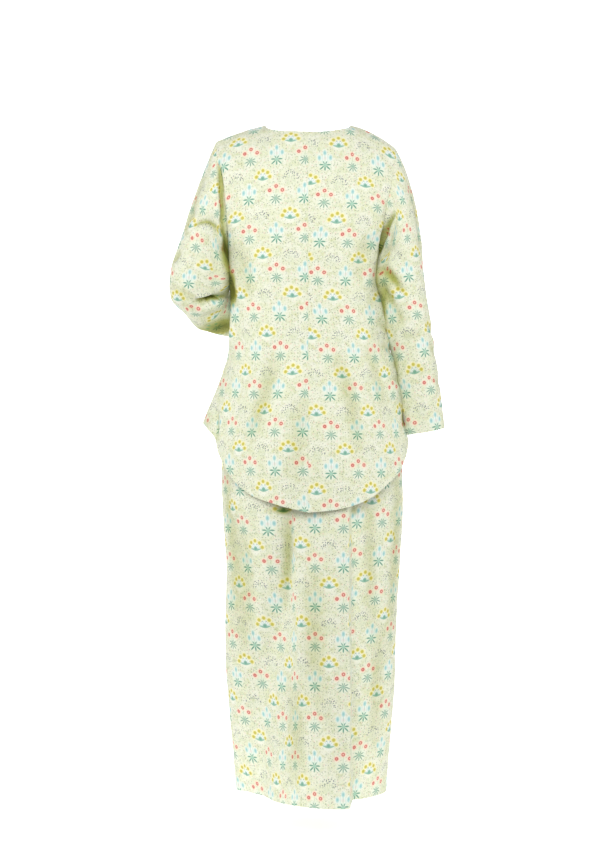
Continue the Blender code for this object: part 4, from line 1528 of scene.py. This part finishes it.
def stitching(name, paths, tree):
    """Stitches along several lines, as one plain mesh."""
    spots = np.concatenate(paths)
    starts = np.cumsum([0] + [len(path) for path in paths])
    edges = [
        (k, k + 1) for first, last in zip(starts, starts[1:]) for k in range(first, last - 1)
    ]
    lines = bpy.data.meshes.new(name + "_lines")
    lines.from_pydata(spots.tolist(), edges, [])
    guide = linked(name + "_lines", lines)
    nodes = guide.modifiers.new("stitching", "NODES")
    nodes.node_group = tree
    sizes = {"Pitch": STITCH_PITCH, "Length": STITCH_LENGTH, "Width": THREAD_WIDTH}
    for socket in tree.interface.items_tree:
        if socket.in_out == "INPUT" and socket.name in sizes:
            nodes[socket.identifier] = sizes[socket.name]
    ready = guide.evaluated_get(bpy.context.evaluated_depsgraph_get())
    mesh = bpy.data.meshes.new_from_object(ready)
    mesh.name = name
    bpy.data.objects.remove(guide)
    return linked(name, mesh)


# Pieces


def build_group(panels, lain, material):
    """The panels that are sewn together: their pieces, and what their stitches follow."""
    grids, painted_shade_depth = {}, {}
    for name, way in zip(panels, shared_normals(list(panels.values()))):
        grids[name], painted_shade_depth[name] = creased(name, panels[name], way)
        if name in GATHERED:
            grids[name] = grids[name] + way * gather_lift(panels[name])[..., None]
    pieces, followed = {}, {}
    for (name, grid), way in zip(grids.items(), shared_normals(list(grids.values()))):
        outer, inner = skins(grid, way, panels[name], *PANEL_EDGES[name])
        laid = print_map(name, panels[name], *lain[name]), painted_shade_depth[name]
        tube = name in TUBES
        pieces[name] = shell(name + "_cloth", outer, inner, *laid, material, tube)
        followed[name] = outer, way, panels[name]
    return pieces, followed


def hem_stitching(name, followed, tree):
    """Stitching along the hems of a group's panels."""
    paths = [
        stitch_path(*followed[panel], edge, turn)
        for panel in followed
        for edge, turn in PANEL_EDGES[panel][1]
    ]
    return stitching(name, paths, tree)


def casing_stitching(followed, tree):
    """Rows of stitching through the elastic of the waist casing."""
    paths = [stitch_path(*followed["waistband"], "top", away) for away in CASING_ROWS]
    return stitching("waistband_stitching", paths, tree)


def build_set():
    """The top and the skirt, and what the frame is told of their pieces."""
    material = printed_cloth()
    tree = stitch_tree(thread())
    top, top_followed = build_group(*top_panels(), material)
    low, low_followed = build_group(*skirt_panels(), material)
    skirt_followed = {name: low_followed[name] for name in ("skirt_back", "skirt_front")}
    stitched = {
        "back_left": hem_stitching("top_stitching", top_followed, tree),
        "skirt_back": hem_stitching("skirt_stitching", skirt_followed, tree),
        "waistband": casing_stitching(low_followed, tree),
    }
    for name, piece in {**top, **low}.items():
        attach(piece, "root")
        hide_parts(*SOLIDS.get(name, (name,)))
        sewn_on = [stitched[name]] if name in stitched else []
        for line in sewn_on:
            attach(line, "root")


# Studio


def place_light(name, size, energy, place, aim):
    """A square soft light."""
    lamp = bpy.data.lights.new(name, "AREA")
    lamp.energy = energy
    lamp.size = size
    light = linked(name, lamp)
    light.location = place
    way = Vector(aim) - Vector(place)
    light.rotation_euler = way.to_track_quat("-Z", "Y").to_euler()


def place_stage(name, place, turn, glow):
    """A plain pale plane that the part stands on or before."""
    bpy.ops.mesh.primitive_plane_add(size=STAGE_SIZE, location=place, rotation=(turn, 0, 0))
    stage = bpy.context.object
    stage.name = name
    finish = Finish(name, Roughness=0.9, Emission_Strength=glow)
    spot = finish.node("TexCoord", {}, {}, 3)
    tint = finish.mix(finish.noise(spot, 0.6), STAGE_PALE, STAGE_WHITE)
    finish.surface("Base Color", tint)
    finish.surface("Emission Color", tint)
    stage.data.materials.append(finish.material)


def set_studio():
    """The camera, a pale floor and soft light."""
    lens = bpy.data.cameras.new("camera")
    lens.lens = LENS
    lens.sensor_width = SENSOR
    camera = linked("camera", lens)
    camera.location = CAMERA_PLACE
    camera.rotation_euler = (math.pi / 2 - CAMERA_DIP, 0, math.pi)
    bpy.context.scene.camera = camera
    place_stage("floor", FLOOR_PLACE, 0.0, FLOOR_GLOW)
    place_stage("backdrop", BACKDROP_PLACE, math.pi / 2, BACKDROP_GLOW)
    world = bpy.data.worlds.new("studio")
    world.use_nodes = True
    sky = world.node_tree.nodes["Background"].inputs
    sky["Color"].default_value = WORLD_COLOUR
    sky["Strength"].default_value = WORLD_STRENGTH
    bpy.context.scene.world = world
    bpy.context.scene.view_settings.view_transform = "Standard"
    for light in LIGHTS:
        place_light(*light)


build_set()
set_studio()
